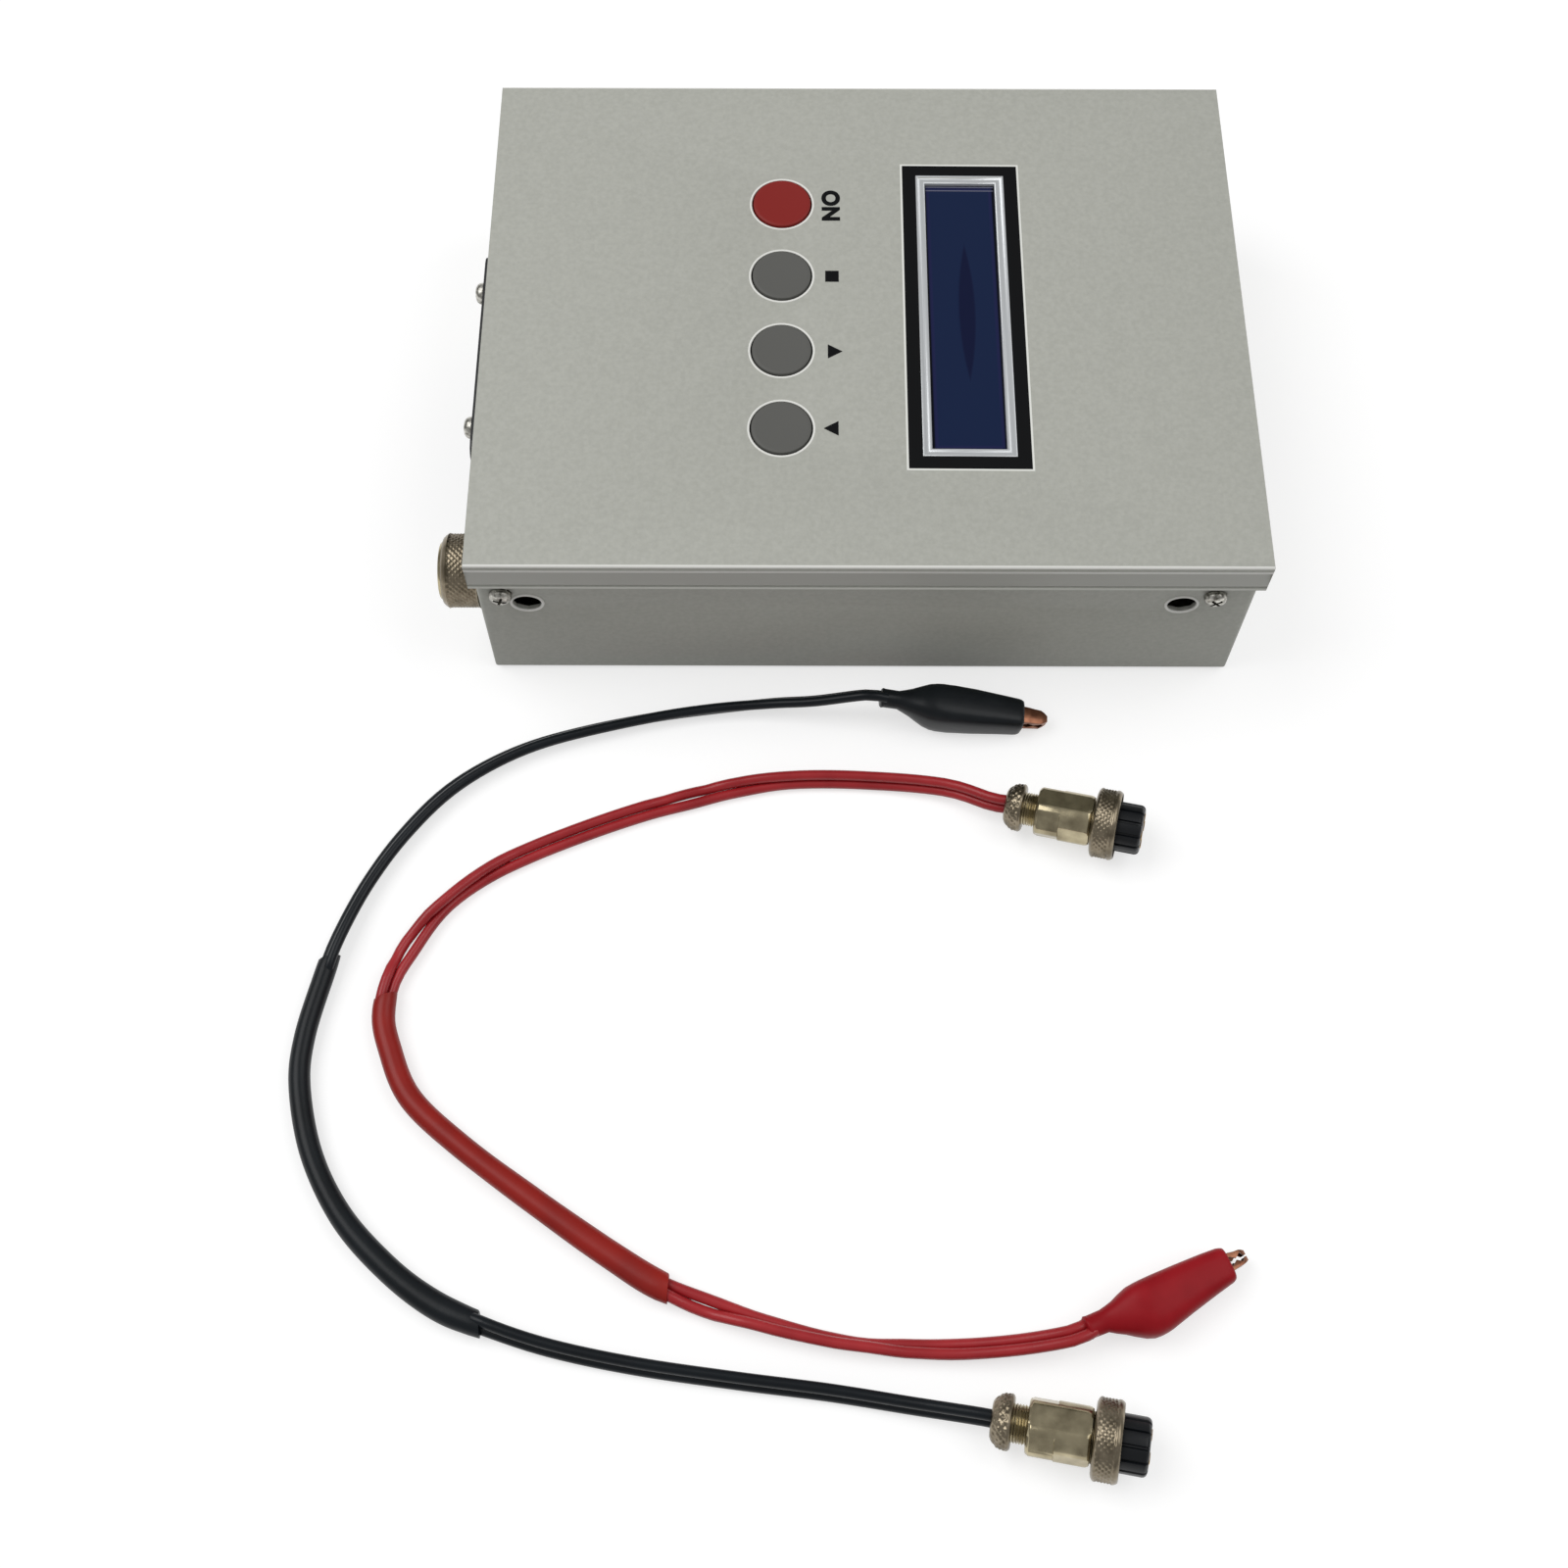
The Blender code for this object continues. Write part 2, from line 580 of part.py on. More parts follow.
def build_cover():
    cover = prism("top_cover", cover_outline(), -CASE_WIDTH / 2, CASE_WIDTH / 2, "X")
    root = SHEET / 2
    tab_face = INNER_HALF_Y - GAP
    tabs = []
    for screw_x, hole_x in ((CASE_SCREW_LEFT_X, SIDE_HOLE_LEFT_X), (CASE_SCREW_RIGHT_X, SIDE_HOLE_RIGHT_X)):
        left, right = tab_span(screw_x, hole_x)
        for side in (-1, 1):
            near, far = sorted((side * tab_face, side * (tab_face - SHEET)))
            tabs.append(box("tab", (left, near, CASE_SCREW_Z - TAB_MARGIN),
                            (right, far, COVER_UNDER + root)))
    studs = [rod("stud", (x, y, KEYPAD_TOP + GAP), "Z", COVER_UNDER + root - KEYPAD_TOP - GAP, STUD_RADIUS)
             for x, y in stud_places()]
    join(cover, *tabs, *studs)
    cutters = [box("window", (DISPLAY_X - WINDOW_WIDTH / 2, -WINDOW_LENGTH / 2, COVER_UNDER - root),
                   (DISPLAY_X + WINDOW_WIDTH / 2, WINDOW_LENGTH / 2, CASE_TOP + root))]
    for x, y in button_places():
        cutters.append(rod("button_hole", (x, y, COVER_UNDER - root), "Z", SHEET + 2 * root,
                           BUTTON_RADIUS + RUNNING_PLAY))
    for x in (CASE_SCREW_LEFT_X, CASE_SCREW_RIGHT_X):
        for side in (-1, 1):
            start = (x, side * (tab_face + root / 2), CASE_SCREW_Z)
            cutters.append(rod("tab_hole", start, "Y", -side * (SHEET + root), SCREW_HOLE))
    cut(cover, *cutters)
    place(cover, tester, COAT)


def pan_screw(name, parent, look, length, place_at, turn):
    """Pan head screw along local X: the head lies at x < 0 and the shank at x > 0."""
    head = SCREW_HEAD_HEIGHT
    profile = [(-head, 0.5 * SCREW_HEAD_RADIUS), (-0.7 * head, 0.88 * SCREW_HEAD_RADIUS),
               (-0.3 * head, SCREW_HEAD_RADIUS), (0.0, SCREW_HEAD_RADIUS), (0.0, SCREW_RADIUS),
               (length, SCREW_RADIUS)]
    place(turned(name, profile, 12), parent, look, place_at, turn)


def build_case_screws():
    for end, x in (("left", CASE_SCREW_LEFT_X), ("right", CASE_SCREW_RIGHT_X)):
        for face, side in (("front", -1), ("rear", 1)):
            where = (x, side * (TRAY_HALF_Y + GAP), CASE_SCREW_Z)
            pan_screw(f"case_screw_{face}_{end}", tester, STEEL, CASE_SCREW_LENGTH, where,
                      (0.0, 0.0, math.radians(-90 * side)))


def build_feet():
    top = FOOT_HEIGHT - GAP
    profile = [(0.0, 0.85 * FOOT_RADIUS), (0.2 * top, FOOT_RADIUS), (top, FOOT_RADIUS)]
    for end, side_x in (("left", -1), ("right", 1)):
        for face, side_y in (("front", -1), ("rear", 1)):
            where = (side_x * (TRAY_HALF_X - FOOT_INSET), side_y * (TRAY_HALF_Y - FOOT_INSET), 0.0)
            place(turned(f"foot_{face}_{end}", profile), tester, RUBBER, where,
                  (0.0, math.radians(-90), 0.0))


# Display and buttons
def build_display():
    def ring(width, length, z):
        return [(x, y, z) for x, y in rectangle((DISPLAY_X - width / 2, -length / 2),
                                                (DISPLAY_X + width / 2, length / 2))]

    low = KEYPAD_TOP + GAP
    shelf = LCD_TOP - LCD_BEVEL_DEPTH
    inner_width = LCD_FRAME_WIDTH - 2 * LCD_FRAME_WALL
    inner_length = LCD_FRAME_LENGTH - 2 * LCD_FRAME_WALL
    mouth_width = WINDOW_WIDTH - 2 * LCD_BEVEL_MARGIN
    mouth_length = WINDOW_LENGTH - 2 * LCD_BEVEL_MARGIN
    rings = [ring(LCD_FRAME_WIDTH, LCD_FRAME_LENGTH, low), ring(LCD_FRAME_WIDTH, LCD_FRAME_LENGTH, LCD_TOP),
             ring(mouth_width, mouth_length, LCD_TOP), ring(LCD_VIEW_WIDTH, LCD_VIEW_LENGTH, shelf),
             ring(LCD_VIEW_WIDTH, LCD_VIEW_LENGTH, shelf - GAP),
             ring(inner_width, inner_length, shelf - GAP), ring(inner_width, inner_length, low)]
    place(loft("lcd_frame", rings, closed=True), tester, LCD_METAL)
    half_width = inner_width / 2 - GAP
    half_length = inner_length / 2 - GAP
    glass = box("lcd_glass", (DISPLAY_X - half_width, -half_length, low),
                (DISPLAY_X + half_width, half_length, shelf - 2 * GAP))
    place(glass, tester, LCD_BLUE)


def build_keypad_board():
    board = box("keypad_board", (KEYPAD_LEFT, -KEYPAD_LENGTH / 2, KEYPAD_UNDER),
                (KEYPAD_RIGHT, KEYPAD_LENGTH / 2, KEYPAD_TOP))
    half = SWITCH_SIZE / 2
    root = BOARD_THICKNESS / 2
    mouth = KEYPAD_TOP + SWITCH_HEIGHT
    join(board, *(box("switch", (x - half, y - half, KEYPAD_TOP - root), (x + half, y + half, mouth))
                  for x, y in button_places()))
    cut(board, *(rod("switch_bore", (x, y, mouth + root), "Z", -SWITCH_BORE_DEPTH - root,
                     BUTTON_STEM_RADIUS + RUNNING_PLAY) for x, y in button_places()))
    place(board, tester, BOARD_GREEN)


def build_buttons():
    """Caps with a flange under the cover and a stem in the switch. Their origin is at the cover's top."""
    flange_top = LCD_TOP - CASE_TOP
    flange_low = flange_top - BUTTON_FLANGE_HEIGHT
    bore_floor = KEYPAD_TOP + SWITCH_HEIGHT - SWITCH_BORE_DEPTH - CASE_TOP
    stem_end = bore_floor + BUTTON_TRAVEL + RUNNING_PLAY
    flange = BUTTON_RADIUS + BUTTON_FLANGE
    rim = BUTTON_PROUD
    profile = [(stem_end, BUTTON_STEM_RADIUS), (flange_low, BUTTON_STEM_RADIUS), (flange_low, flange),
               (flange_top, flange), (flange_top, BUTTON_RADIUS), (rim - BUTTON_CHAMFER, BUTTON_RADIUS),
               (rim, BUTTON_RADIUS - BUTTON_CHAMFER)]
    for name, (x, y) in zip(BUTTON_NAMES, button_places()):
        look = RED_CAP if name == BUTTON_NAMES[0] else GREY_CAP
        place(turned(name, profile), tester, look, (x, y, CASE_TOP), (0.0, math.radians(-90), 0.0))


# Main board and what stands on it
def build_main_board():
    board = box("main_board", (MAIN_LEFT, MAIN_FRONT, MAIN_UNDER), (MAIN_RIGHT, MAIN_BACK, MAIN_TOP))
    place(board, tester, BOARD_GREEN)


def build_heat_sink():
    """Comb section run along X, its channels in line with the fan."""
    pitch = (SINK_HEIGHT - SINK_FIN) / (SINK_FINS - 1)
    root = SINK_BACK - SINK_BASE
    tip = root - SINK_REACH
    outline = [(SINK_BACK, ON_BOARD)]
    for i in range(SINK_FINS):
        low = ON_BOARD + i * pitch
        if i:
            outline.append((root, low))
        outline += [(tip, low), (tip, low + SINK_FIN)]
        if i < SINK_FINS - 1:
            outline.append((root, low + SINK_FIN))
    outline.append((SINK_BACK, ON_BOARD + SINK_HEIGHT))
    sink = prism("heat_sink", outline, SINK_RIGHT - SINK_LENGTH, SINK_RIGHT, "X")
    place(sink, tester, ALUMINIUM)


def build_transistor():
    centre = SINK_RIGHT - SINK_LENGTH / 2
    front = SINK_BACK + GAP
    low = ON_BOARD + TRANSISTOR_LEG
    body = box("power_transistor", (centre - TRANSISTOR_WIDTH / 2, front, low),
               (centre + TRANSISTOR_WIDTH / 2, front + TRANSISTOR_THICKNESS, low + TRANSISTOR_HEIGHT))
    y = front + TRANSISTOR_THICKNESS / 2
    half = TRANSISTOR_LEG_WIDTH / 2
    legs = []
    for i in (-1, 0, 1):
        x = centre + i * TRANSISTOR_LEG_PITCH
        legs.append(box("leg", (x - half, y - half / 2, ON_BOARD), (x + half, y + half / 2, low + half)))
    join(body, *legs)
    hole = (centre, front - GAP / 2, low + 0.7 * TRANSISTOR_HEIGHT)
    cut(body, rod("hole", hole, "Y", TRANSISTOR_THICKNESS + GAP, SCREW_HOLE))
    place(body, tester, BLACK_PLASTIC)


def build_capacitor():
    height = CAPACITOR_HEIGHT
    radius = CAPACITOR_RADIUS
    profile = [(0.0, radius), (0.09 * height, radius), (0.12 * height, 0.92 * radius),
               (0.15 * height, radius), (0.98 * height, radius), (height, 0.93 * radius)]
    place(turned("filter_capacitor", profile), tester, CAN_BLUE, (CAPACITOR_X, CAPACITOR_Y, ON_BOARD),
          (0.0, math.radians(-90), 0.0))


def build_jack():
    """Power inlet standing on the main board, its bore and centre pin behind the rear wall's hole."""
    face = INNER_HALF_Y - GAP
    axis = ON_BOARD + JACK_HEIGHT / 2
    jack = box("power_jack", (JACK_X - JACK_WIDTH / 2, face - JACK_DEPTH, ON_BOARD),
               (JACK_X + JACK_WIDTH / 2, face, ON_BOARD + JACK_HEIGHT))
    cut(jack, rod("bore", (JACK_X, face + GAP, axis), "Y", -JACK_BORE_DEPTH - GAP, JACK_BORE))
    pin_root = (JACK_X, face - JACK_BORE_DEPTH - GAP, axis)
    join(jack, rod("pin", pin_root, "Y", JACK_BORE_DEPTH - GAP, JACK_PIN))
    place(jack, tester, BLACK_PLASTIC)


# Fan
def build_fan_frame():
    """Square frame with a round duct, three struts and the motor plate on the inner face."""
    half = FAN_SIZE / 2
    frame = prism("fan_frame", rounded((-half, -half), (half, half), FAN_CORNER, 3), 0.0, FAN_DEPTH, "X")
    over = FAN_STRUT_DEPTH
    pitch = FAN_SCREW_PITCH / 2
    cutters = [rod("duct", (-over, 0.0, 0.0), "X", FAN_DEPTH + 2 * over, FAN_BORE)]
    for y in (-pitch, pitch):
        for z in (-pitch, pitch):
            cutters.append(rod("hole", (-over, y, z), "X", FAN_DEPTH + 2 * over, SCREW_HOLE + SCREW_PLAY))
    cut(frame, *cutters)
    start = FAN_DEPTH - FAN_STRUT_DEPTH
    plate = rod("motor_plate", (start, 0.0, 0.0), "X", FAN_STRUT_DEPTH, FAN_HUB)
    struts = []
    for i in range(3):
        angle = math.radians(90 + 120 * i)
        along = Vector((math.cos(angle), math.sin(angle)))
        across = Vector((-along.y, along.x)) * (FAN_STRUT / 2)
        near = along * (FAN_HUB / 2)
        far = along * (FAN_BORE + FAN_TIP_PLAY / 2)
        corners = [near - across, far - across, far + across, near + across]
        inset = over / 12
        struts.append(prism("strut", [tuple(c) for c in corners], start + inset, FAN_DEPTH - inset, "X"))
    join(frame, plate, *struts)
    place(frame, tester, BLACK_PLASTIC, (-INNER_HALF_X + GAP, FAN_Y, CASE_MIDDLE))


def blade(index, low, high):
    """One twisted blade, from inside the hub out to the tip."""
    tip = FAN_BORE - FAN_TIP_PLAY
    root = FAN_HUB - FAN_BLADE / 2
    stations = 3
    rings = []
    for i in range(stations):
        share = i / (stations - 1)
        radius = root + share * (tip - root)
        sweep = 2 * math.pi * index / FAN_BLADES + math.radians(14) * share
        half_angle = math.radians(22) * (1 - 0.25 * share)
        camber = math.radians(3)
        ring = []
        for a, x in ((-1, high), (0, (low + high) / 2), (1, low)):
            bow = camber if a == 0 else 0.0
            angle = sweep + a * half_angle + bow
            ring.append((x, angle))
        thick = FAN_BLADE / radius
        loop = ring + [(x, angle + thick) for x, angle in reversed(ring)]
        rings.append([(x, radius * math.cos(angle), radius * math.sin(angle)) for x, angle in loop])
    return loft("blade", rings, smooth=50.0)


def build_fan_rotor():
    """Hub cup and blades. The origin is the duct's mouth on the fan's axis."""
    front = RUNNING_PLAY
    back = FAN_DEPTH - FAN_STRUT_DEPTH - RUNNING_PLAY
    profile = [(front, FAN_HUB - 2 * FAN_BLADE), (front + FAN_BLADE, FAN_HUB), (back, FAN_HUB),
               (back, FAN_HUB - FAN_BLADE), (front + 2 * FAN_BLADE, FAN_HUB - FAN_BLADE)]
    rotor = turned("fan_rotor", profile)
    edge = 0.0006
    join(rotor, *(blade(i, front + edge, back - edge) for i in range(FAN_BLADES)))
    place(rotor, tester, BLACK_PLASTIC, (-INNER_HALF_X + GAP, FAN_Y, CASE_MIDDLE))


def arc_slot(inner, outer, start, end, steps):
    """Outline of one arc-shaped slot, between two radii and two angles."""
    angles = [start + (end - start) * i / steps for i in range(steps + 1)]
    outward = [(outer * math.cos(a), outer * math.sin(a)) for a in angles]
    inward = [(inner * math.cos(a), inner * math.sin(a)) for a in reversed(angles)]
    return outward + inward


def build_fan_guard():
    """Stamped plate with rings of arc slots between straight spokes."""
    half_length = GUARD_LENGTH / 2
    half_height = GUARD_HEIGHT / 2
    outline = rounded((-half_length, -half_height), (half_length, half_height), GUARD_CORNER, 3)
    guard = prism("fan_guard", outline, -GUARD_THICKNESS, 0.0, "X")
    over = GUARD_THICKNESS / 2
    cutters = []
    outer = FAN_BORE
    for ring in range(GUARD_SLOTS):
        inner = outer - GUARD_SLOT
        for spoke in range(GUARD_SPOKES):
            turn = 2 * math.pi / GUARD_SPOKES
            margin = GUARD_SPOKE / 2 / inner
            slot = arc_slot(inner, outer, spoke * turn + margin, (spoke + 1) * turn - margin, 6 - ring)
            cutters.append(prism("slot", slot, -GUARD_THICKNESS - over, over, "X"))
        outer = inner - GUARD_BAR
    pitch = FAN_SCREW_PITCH / 2
    for y in (-pitch, pitch):
        for z in (-pitch, pitch):
            cutters.append(rod("hole", (-GUARD_THICKNESS - over, y, z), "X", 4 * over, SCREW_HOLE))
    cut(guard, *cutters)
    place(guard, tester, BLACK_PLASTIC, (-TRAY_HALF_X - GAP, FAN_Y, CASE_MIDDLE))


def build_fan_screws():
    seat = -TRAY_HALF_X - GAP - GUARD_THICKNESS - GAP
    length = FAN_DEPTH + SHEET + GUARD_THICKNESS
    for (y, z), name in zip(fan_screw_places(), ("upper_rear", "upper_front", "lower_rear", "lower_front")):
        pan_screw(f"fan_screw_{name}", tester, STEEL, length, (seat, y, z), (0.0, 0.0, 0.0))


# Sockets on the case
def build_socket(prefix, place_at, turn):
    """Threaded socket through a wall whose outer face is at local x = 0, with nut and pin insert."""
    base = empty(f"{prefix}_socket", place_at, turn, tester)
    flange_out = -SHEET - GAP
    flange_in = flange_out - SOCKET_FLANGE_DEPTH
    step = SOCKET_REACH - SOCKET_CAVITY
    bore = CAVITY_RADIUS - SOCKET_WALL
    shell = [(-SOCKET_TAIL, THREAD_RADIUS), (flange_in, THREAD_RADIUS), (flange_in, SOCKET_FLANGE),
             (flange_out, SOCKET_FLANGE), (flange_out, THREAD_RADIUS),
             (SOCKET_REACH - SOCKET_WALL, THREAD_RADIUS), (SOCKET_REACH, CAVITY_RADIUS + SOCKET_WALL / 2),
             (SOCKET_REACH, CAVITY_RADIUS), (step, CAVITY_RADIUS), (step, bore), (-SOCKET_TAIL, bore)]
    place(turned(f"{prefix}_socket_shell", shell, closed=True), base, NICKEL)
    nut_bore = THREAD_RADIUS + GAP
    edge = SOCKET_NUT_RADIUS - THREAD_RADIUS - GAP
    start = GAP
    end = GAP + SOCKET_NUT_LENGTH
    nut = [(start, nut_bore), (start, SOCKET_NUT_RADIUS), (end - edge, SOCKET_NUT_RADIUS),
           (end, SOCKET_NUT_RADIUS - 0.7 * edge), (end, nut_bore)]
    place(turned(f"{prefix}_socket_nut", nut, closed=True), base, NICKEL)
    insert_radius = bore - GAP
    insert = turned(f"{prefix}_socket_insert", [(-SOCKET_TAIL, insert_radius), (step, insert_radius)])
    pins = []
    for i in range(4):
        angle = math.radians(45 + 90 * i)
        off_axis = [SOCKET_PIN_CIRCLE * share for share in (math.cos(angle), math.sin(angle))]
        where = (step - SOCKET_WALL, *off_axis)
        pins.append(rod("pin", where, "X", SOCKET_PIN_LENGTH + SOCKET_WALL, SOCKET_PIN_RADIUS))
    join(insert, *pins)
    place(insert, base, BLACK_PLASTIC)


# Plugs on the leads
def plug_profiles():
    """Profiles of the plug's turned pieces along its axis, from the cable end."""
    clamp_end = PLUG_CLAMP_LENGTH
    rim = PLUG_CLAMP_RADIUS
    clamp = [(0.0, 0.68 * rim), (0.6 * clamp_end, rim), (0.88 * clamp_end, rim), (clamp_end, 0.9 * rim)]
    neck = clamp_end + GAP
    shoulder = neck + PLUG_NECK_LENGTH
    facet_end = shoulder + PLUG_FACET_LENGTH
    shell_end = shoulder + PLUG_SHELL_LENGTH
    nose_end = shell_end + PLUG_NOSE_LENGTH
    wide = PLUG_SHELL_RADIUS
    chamfer = 0.12 * wide
    shell = [(neck, PLUG_NECK_RADIUS), (shoulder, PLUG_NECK_RADIUS), (shoulder, wide - chamfer),
             (shoulder + chamfer, wide), (facet_end, wide), (shell_end, wide),
             (shell_end, PLUG_NOSE_RADIUS), (nose_end, PLUG_NOSE_RADIUS)]
    nut_start = shell_end + GAP
    nut_end = nut_start + PLUG_NUT_LENGTH
    web = nut_start + PLUG_NUT_WEB
    tight = PLUG_NOSE_RADIUS + RUNNING_PLAY
    open_bore = THREAD_RADIUS + GAP
    soft = PLUG_NUT_ROUNDING
    nut = [(nut_start, tight), (nut_start, PLUG_NUT_RADIUS - soft), (nut_start + soft, PLUG_NUT_RADIUS),
           (nut_end - soft, PLUG_NUT_RADIUS), (nut_end, open_bore + (PLUG_NUT_RADIUS - open_bore) / 3),
           (nut_end, open_bore), (web, open_bore), (web, tight)]
    insert_start = nose_end + GAP
    insert_end = insert_start + PLUG_INSERT_LENGTH
    lead_in = 0.12 * PLUG_INSERT_RADIUS
    insert = [(insert_start, PLUG_INSERT_RADIUS), (insert_end - lead_in, PLUG_INSERT_RADIUS),
              (insert_end, PLUG_INSERT_RADIUS - lead_in)]
    return clamp, shell, nut, insert, facet_end


def ribbed(angle):
    """Limit for the insert: three shallow grooves on each side and a keyway."""
    turn = math.degrees(angle) % 360
    grooves = (20, 50, 80, 200, 230, 260)
    in_groove = any(abs(turn - centre) < 8 for centre in grooves)
    return PLUG_INSERT_RADIUS - (PLUG_RIB_DEPTH if in_groove else 0.0)


def plug_rest():
    """Tilt and axis height at which the plug's clamp and nut both rest on the table."""
    clamp, _, nut, _, _ = plug_profiles()
    clamp_x, clamp_r = clamp[2]
    nut_x, nut_r = nut[3]
    tilt = math.asin((nut_r - clamp_r) / (nut_x - clamp_x))
    height = max(r * math.cos(tilt) - x * math.sin(tilt) for x, r in clamp + nut)
    return tilt, height


def build_plug(colour, place_at, heading):
    clamp, shell, nut, insert, facet_end = plug_profiles()
    tilt, height = plug_rest()
    base = empty(f"{colour}_plug", (*place_at, height), (0.0, -tilt, math.radians(heading)), tester)
    place(turned(f"{colour}_plug_clamp", clamp), base, NICKEL)
    wrench = flats(8, 0.955 * PLUG_SHELL_RADIUS)
    side = flats(2, 0.9 * PLUG_SHELL_RADIUS, math.pi / 2)
    rings = []
    for x, radius in shell:
        rings.append(circle(x, radius, 24, wrench if x <= facet_end else None))
        if x == facet_end:
            rings.append(circle(x, radius, 24, side))
        elif x > facet_end and radius == PLUG_SHELL_RADIUS:
            rings[-1] = circle(x, radius, 24, side)
    place(loft(f"{colour}_plug_shell", rings, smooth=30.0), base, NICKEL)
    place(turned(f"{colour}_plug_nut", nut, closed=True), base, NICKEL)
    place(turned(f"{colour}_plug_insert", insert, 36, limit=ribbed, smooth=25.0), base, BLACK_PLASTIC)
    return base


# Clips on the leads
def boot_stations():
    """Boot sections: x from its rear, half width, height above and below the axis, squareness."""
    return [(0.0000, 0.0018, 0.0018, 0.0018, 2.0), (0.0038, 0.0018, 0.0018, 0.0018, 2.0),
            (0.0065, 0.0027, 0.0024, 0.0031, 2.3), (0.0098, 0.0041, 0.0033, 0.0052, 2.7),
            (0.0123, 0.0044, 0.0035, 0.0057, 3.0), (0.0155, 0.0042, 0.0035, 0.0053, 3.0),
            (0.0185, 0.0040, 0.0034, 0.0049, 3.2), (0.0240, 0.0035, 0.0032, 0.0042, 3.4),
            (BOOT_LIP, 0.0034, 0.0030, 0.0037, 3.4), (0.0287, 0.0031, 0.0027, 0.0034, 3.4)]


def boot_rest(on_side):
    """Tilt and axis height at which the boot's swell and the edge of its mouth rest on the table."""
    reaches = [(station[0], station[1] if on_side else station[3]) for station in boot_stations()]
    swell_x, swell = max(reaches, key=lambda reach: reach[1])
    lip = dict(reaches)[BOOT_LIP]
    tilt = math.atan2(swell - lip, BOOT_LIP - swell_x)
    height = max(x * math.sin(tilt) + reach * math.cos(tilt) for x, reach in reaches)
    return tilt, height


def boot_ring(x, half_width, above, below, power, inset):
    """One boot section as a superellipse, pulled in by inset."""
    count = 12
    ring = []
    for i in range(count):
        angle = 2 * math.pi * (i + 0.5) / count
        c = math.cos(angle)
        s = math.sin(angle)
        height = above if s >= 0 else below
        y = (half_width - inset) * math.copysign(abs(c) ** (2 / power), c)
        z = (height - inset) * math.copysign(abs(s) ** (2 / power), s)
        ring.append((x, y, z))
    return ring


def jaw_stations(nose_half, ear_half):
    """Jaw sections: x from the pivot, half width, crown height, edge height. Teeth run to the nose."""
    stations = [(-0.0070, ear_half, 0.0023, 0.0014), (-0.0045, ear_half, 0.0026, 0.0010),
                (-0.0018, ear_half, 0.0026, -0.0002), (-0.0013, ear_half, 0.0026, -0.0012),
                (0.0013, ear_half, 0.0026, -0.0012), (0.0019, ear_half, 0.0026, JAW_EDGE),
                (0.0026, ear_half, 0.0025, JAW_EDGE), (0.0036, nose_half, 0.0024, JAW_EDGE)]
    start = 0.0046
    count = int((JAW_NOSE - start) / TOOTH_PITCH)
    for i in range(count):
        x = start + i * TOOTH_PITCH
        share = (x - start) / (JAW_NOSE - start)
        crown = 0.0023 - 0.0012 * share
        stations.append((x, nose_half, crown, JAW_EDGE))
        stations.append((x + TOOTH_PITCH / 2, nose_half, crown - 0.00005, JAW_EDGE + TOOTH_DEPTH))
    stations += [(JAW_NOSE - 0.0007, 0.8 * nose_half, 0.00115, JAW_EDGE),
                 (JAW_NOSE, 0.45 * nose_half, 0.0009, JAW_EDGE)]
    return stations


def build_jaw(name, base, up, nose_half, ear_half):
    """Bent sheet channel with teeth along both edges and ears at the pivot."""
    rings = []
    for x, half, crown, edge in jaw_stations(nose_half, ear_half):
        inner = half - JAW_SHEET
        roof = crown - JAW_SHEET
        ring = [(half, edge), (half, crown), (-half, crown), (-half, edge),
                (-inner, edge), (-inner, roof), (inner, roof), (inner, edge)]
        rings.append([(x, y, up * z) for y, z in ring])
    jaw = loft(name, rings)
    across = 4 * JAW_HALF_WIDTH
    cut(jaw, rod("pivot_hole", (0.0, -across / 2, 0.0), "Y", across, CLIP_PIN_RADIUS + SCREW_PLAY))
    return place(jaw, base, COPPER, (CLIP_PIVOT, 0.0, 0.0))


def build_spring(name, base):
    """Torsion spring round the pin, its two arms pressing the handles apart."""
    steps = 8
    turns = SPRING_TURNS
    width = 2.2 * SPRING_WIRE * turns
    points = [(-0.0052, -width / 2, 0.0018)]
    for i in range(turns * steps + steps // 2 + 1):
        angle = math.pi / 2 - 2 * math.pi * i / steps
        y = width * (i / (turns * steps + steps // 2) - 0.5)
        points.append((SPRING_RADIUS * math.cos(angle), y, SPRING_RADIUS * math.sin(angle)))
    points.append((-0.0052, width / 2, -0.0018))
    tube(name, [Vector(point) for point in points], SPRING_WIRE, 1, base, STEEL, (CLIP_PIVOT, 0.0, 0.0))


def build_clip(colour, place_at, heading, on_side, look):
    stations = boot_stations()
    tilt, height = boot_rest(on_side)
    roll = math.radians(-90 if on_side else 0)
    base = empty(f"{colour}_clip", (*place_at, height), (roll, tilt, math.radians(heading)), tester)
    outer = [boot_ring(*station, 0.0) for station in stations]
    inner = [boot_ring(*station, BOOT_WALL) for station in reversed(stations)]
    place(loft(f"{colour}_clip_boot", outer + inner, closed=True, smooth=45.0), base, look)
    fixed_inner = JAW_HALF_WIDTH - JAW_SHEET
    build_jaw(f"{colour}_clip_fixed_jaw", base, -1, JAW_HALF_WIDTH, JAW_HALF_WIDTH)
    build_jaw(f"{colour}_clip_moving_jaw", base, 1, JAW_HALF_WIDTH, fixed_inner - GAP)
    reach = JAW_HALF_WIDTH + GAP
    head_end = reach + CLIP_PIN_HEAD_HEIGHT
    pin = [(-head_end, CLIP_PIN_HEAD), (-reach, CLIP_PIN_HEAD), (-reach, CLIP_PIN_RADIUS),
           (reach, CLIP_PIN_RADIUS), (reach, CLIP_PIN_HEAD), (head_end, CLIP_PIN_HEAD)]
    pivot = turned(f"{colour}_clip_pin", pin)
    place(pivot, base, STEEL, (CLIP_PIVOT, 0.0, 0.0), (0.0, 0.0, math.radians(90)))
    build_spring(f"{colour}_clip_spring", base)
    return base


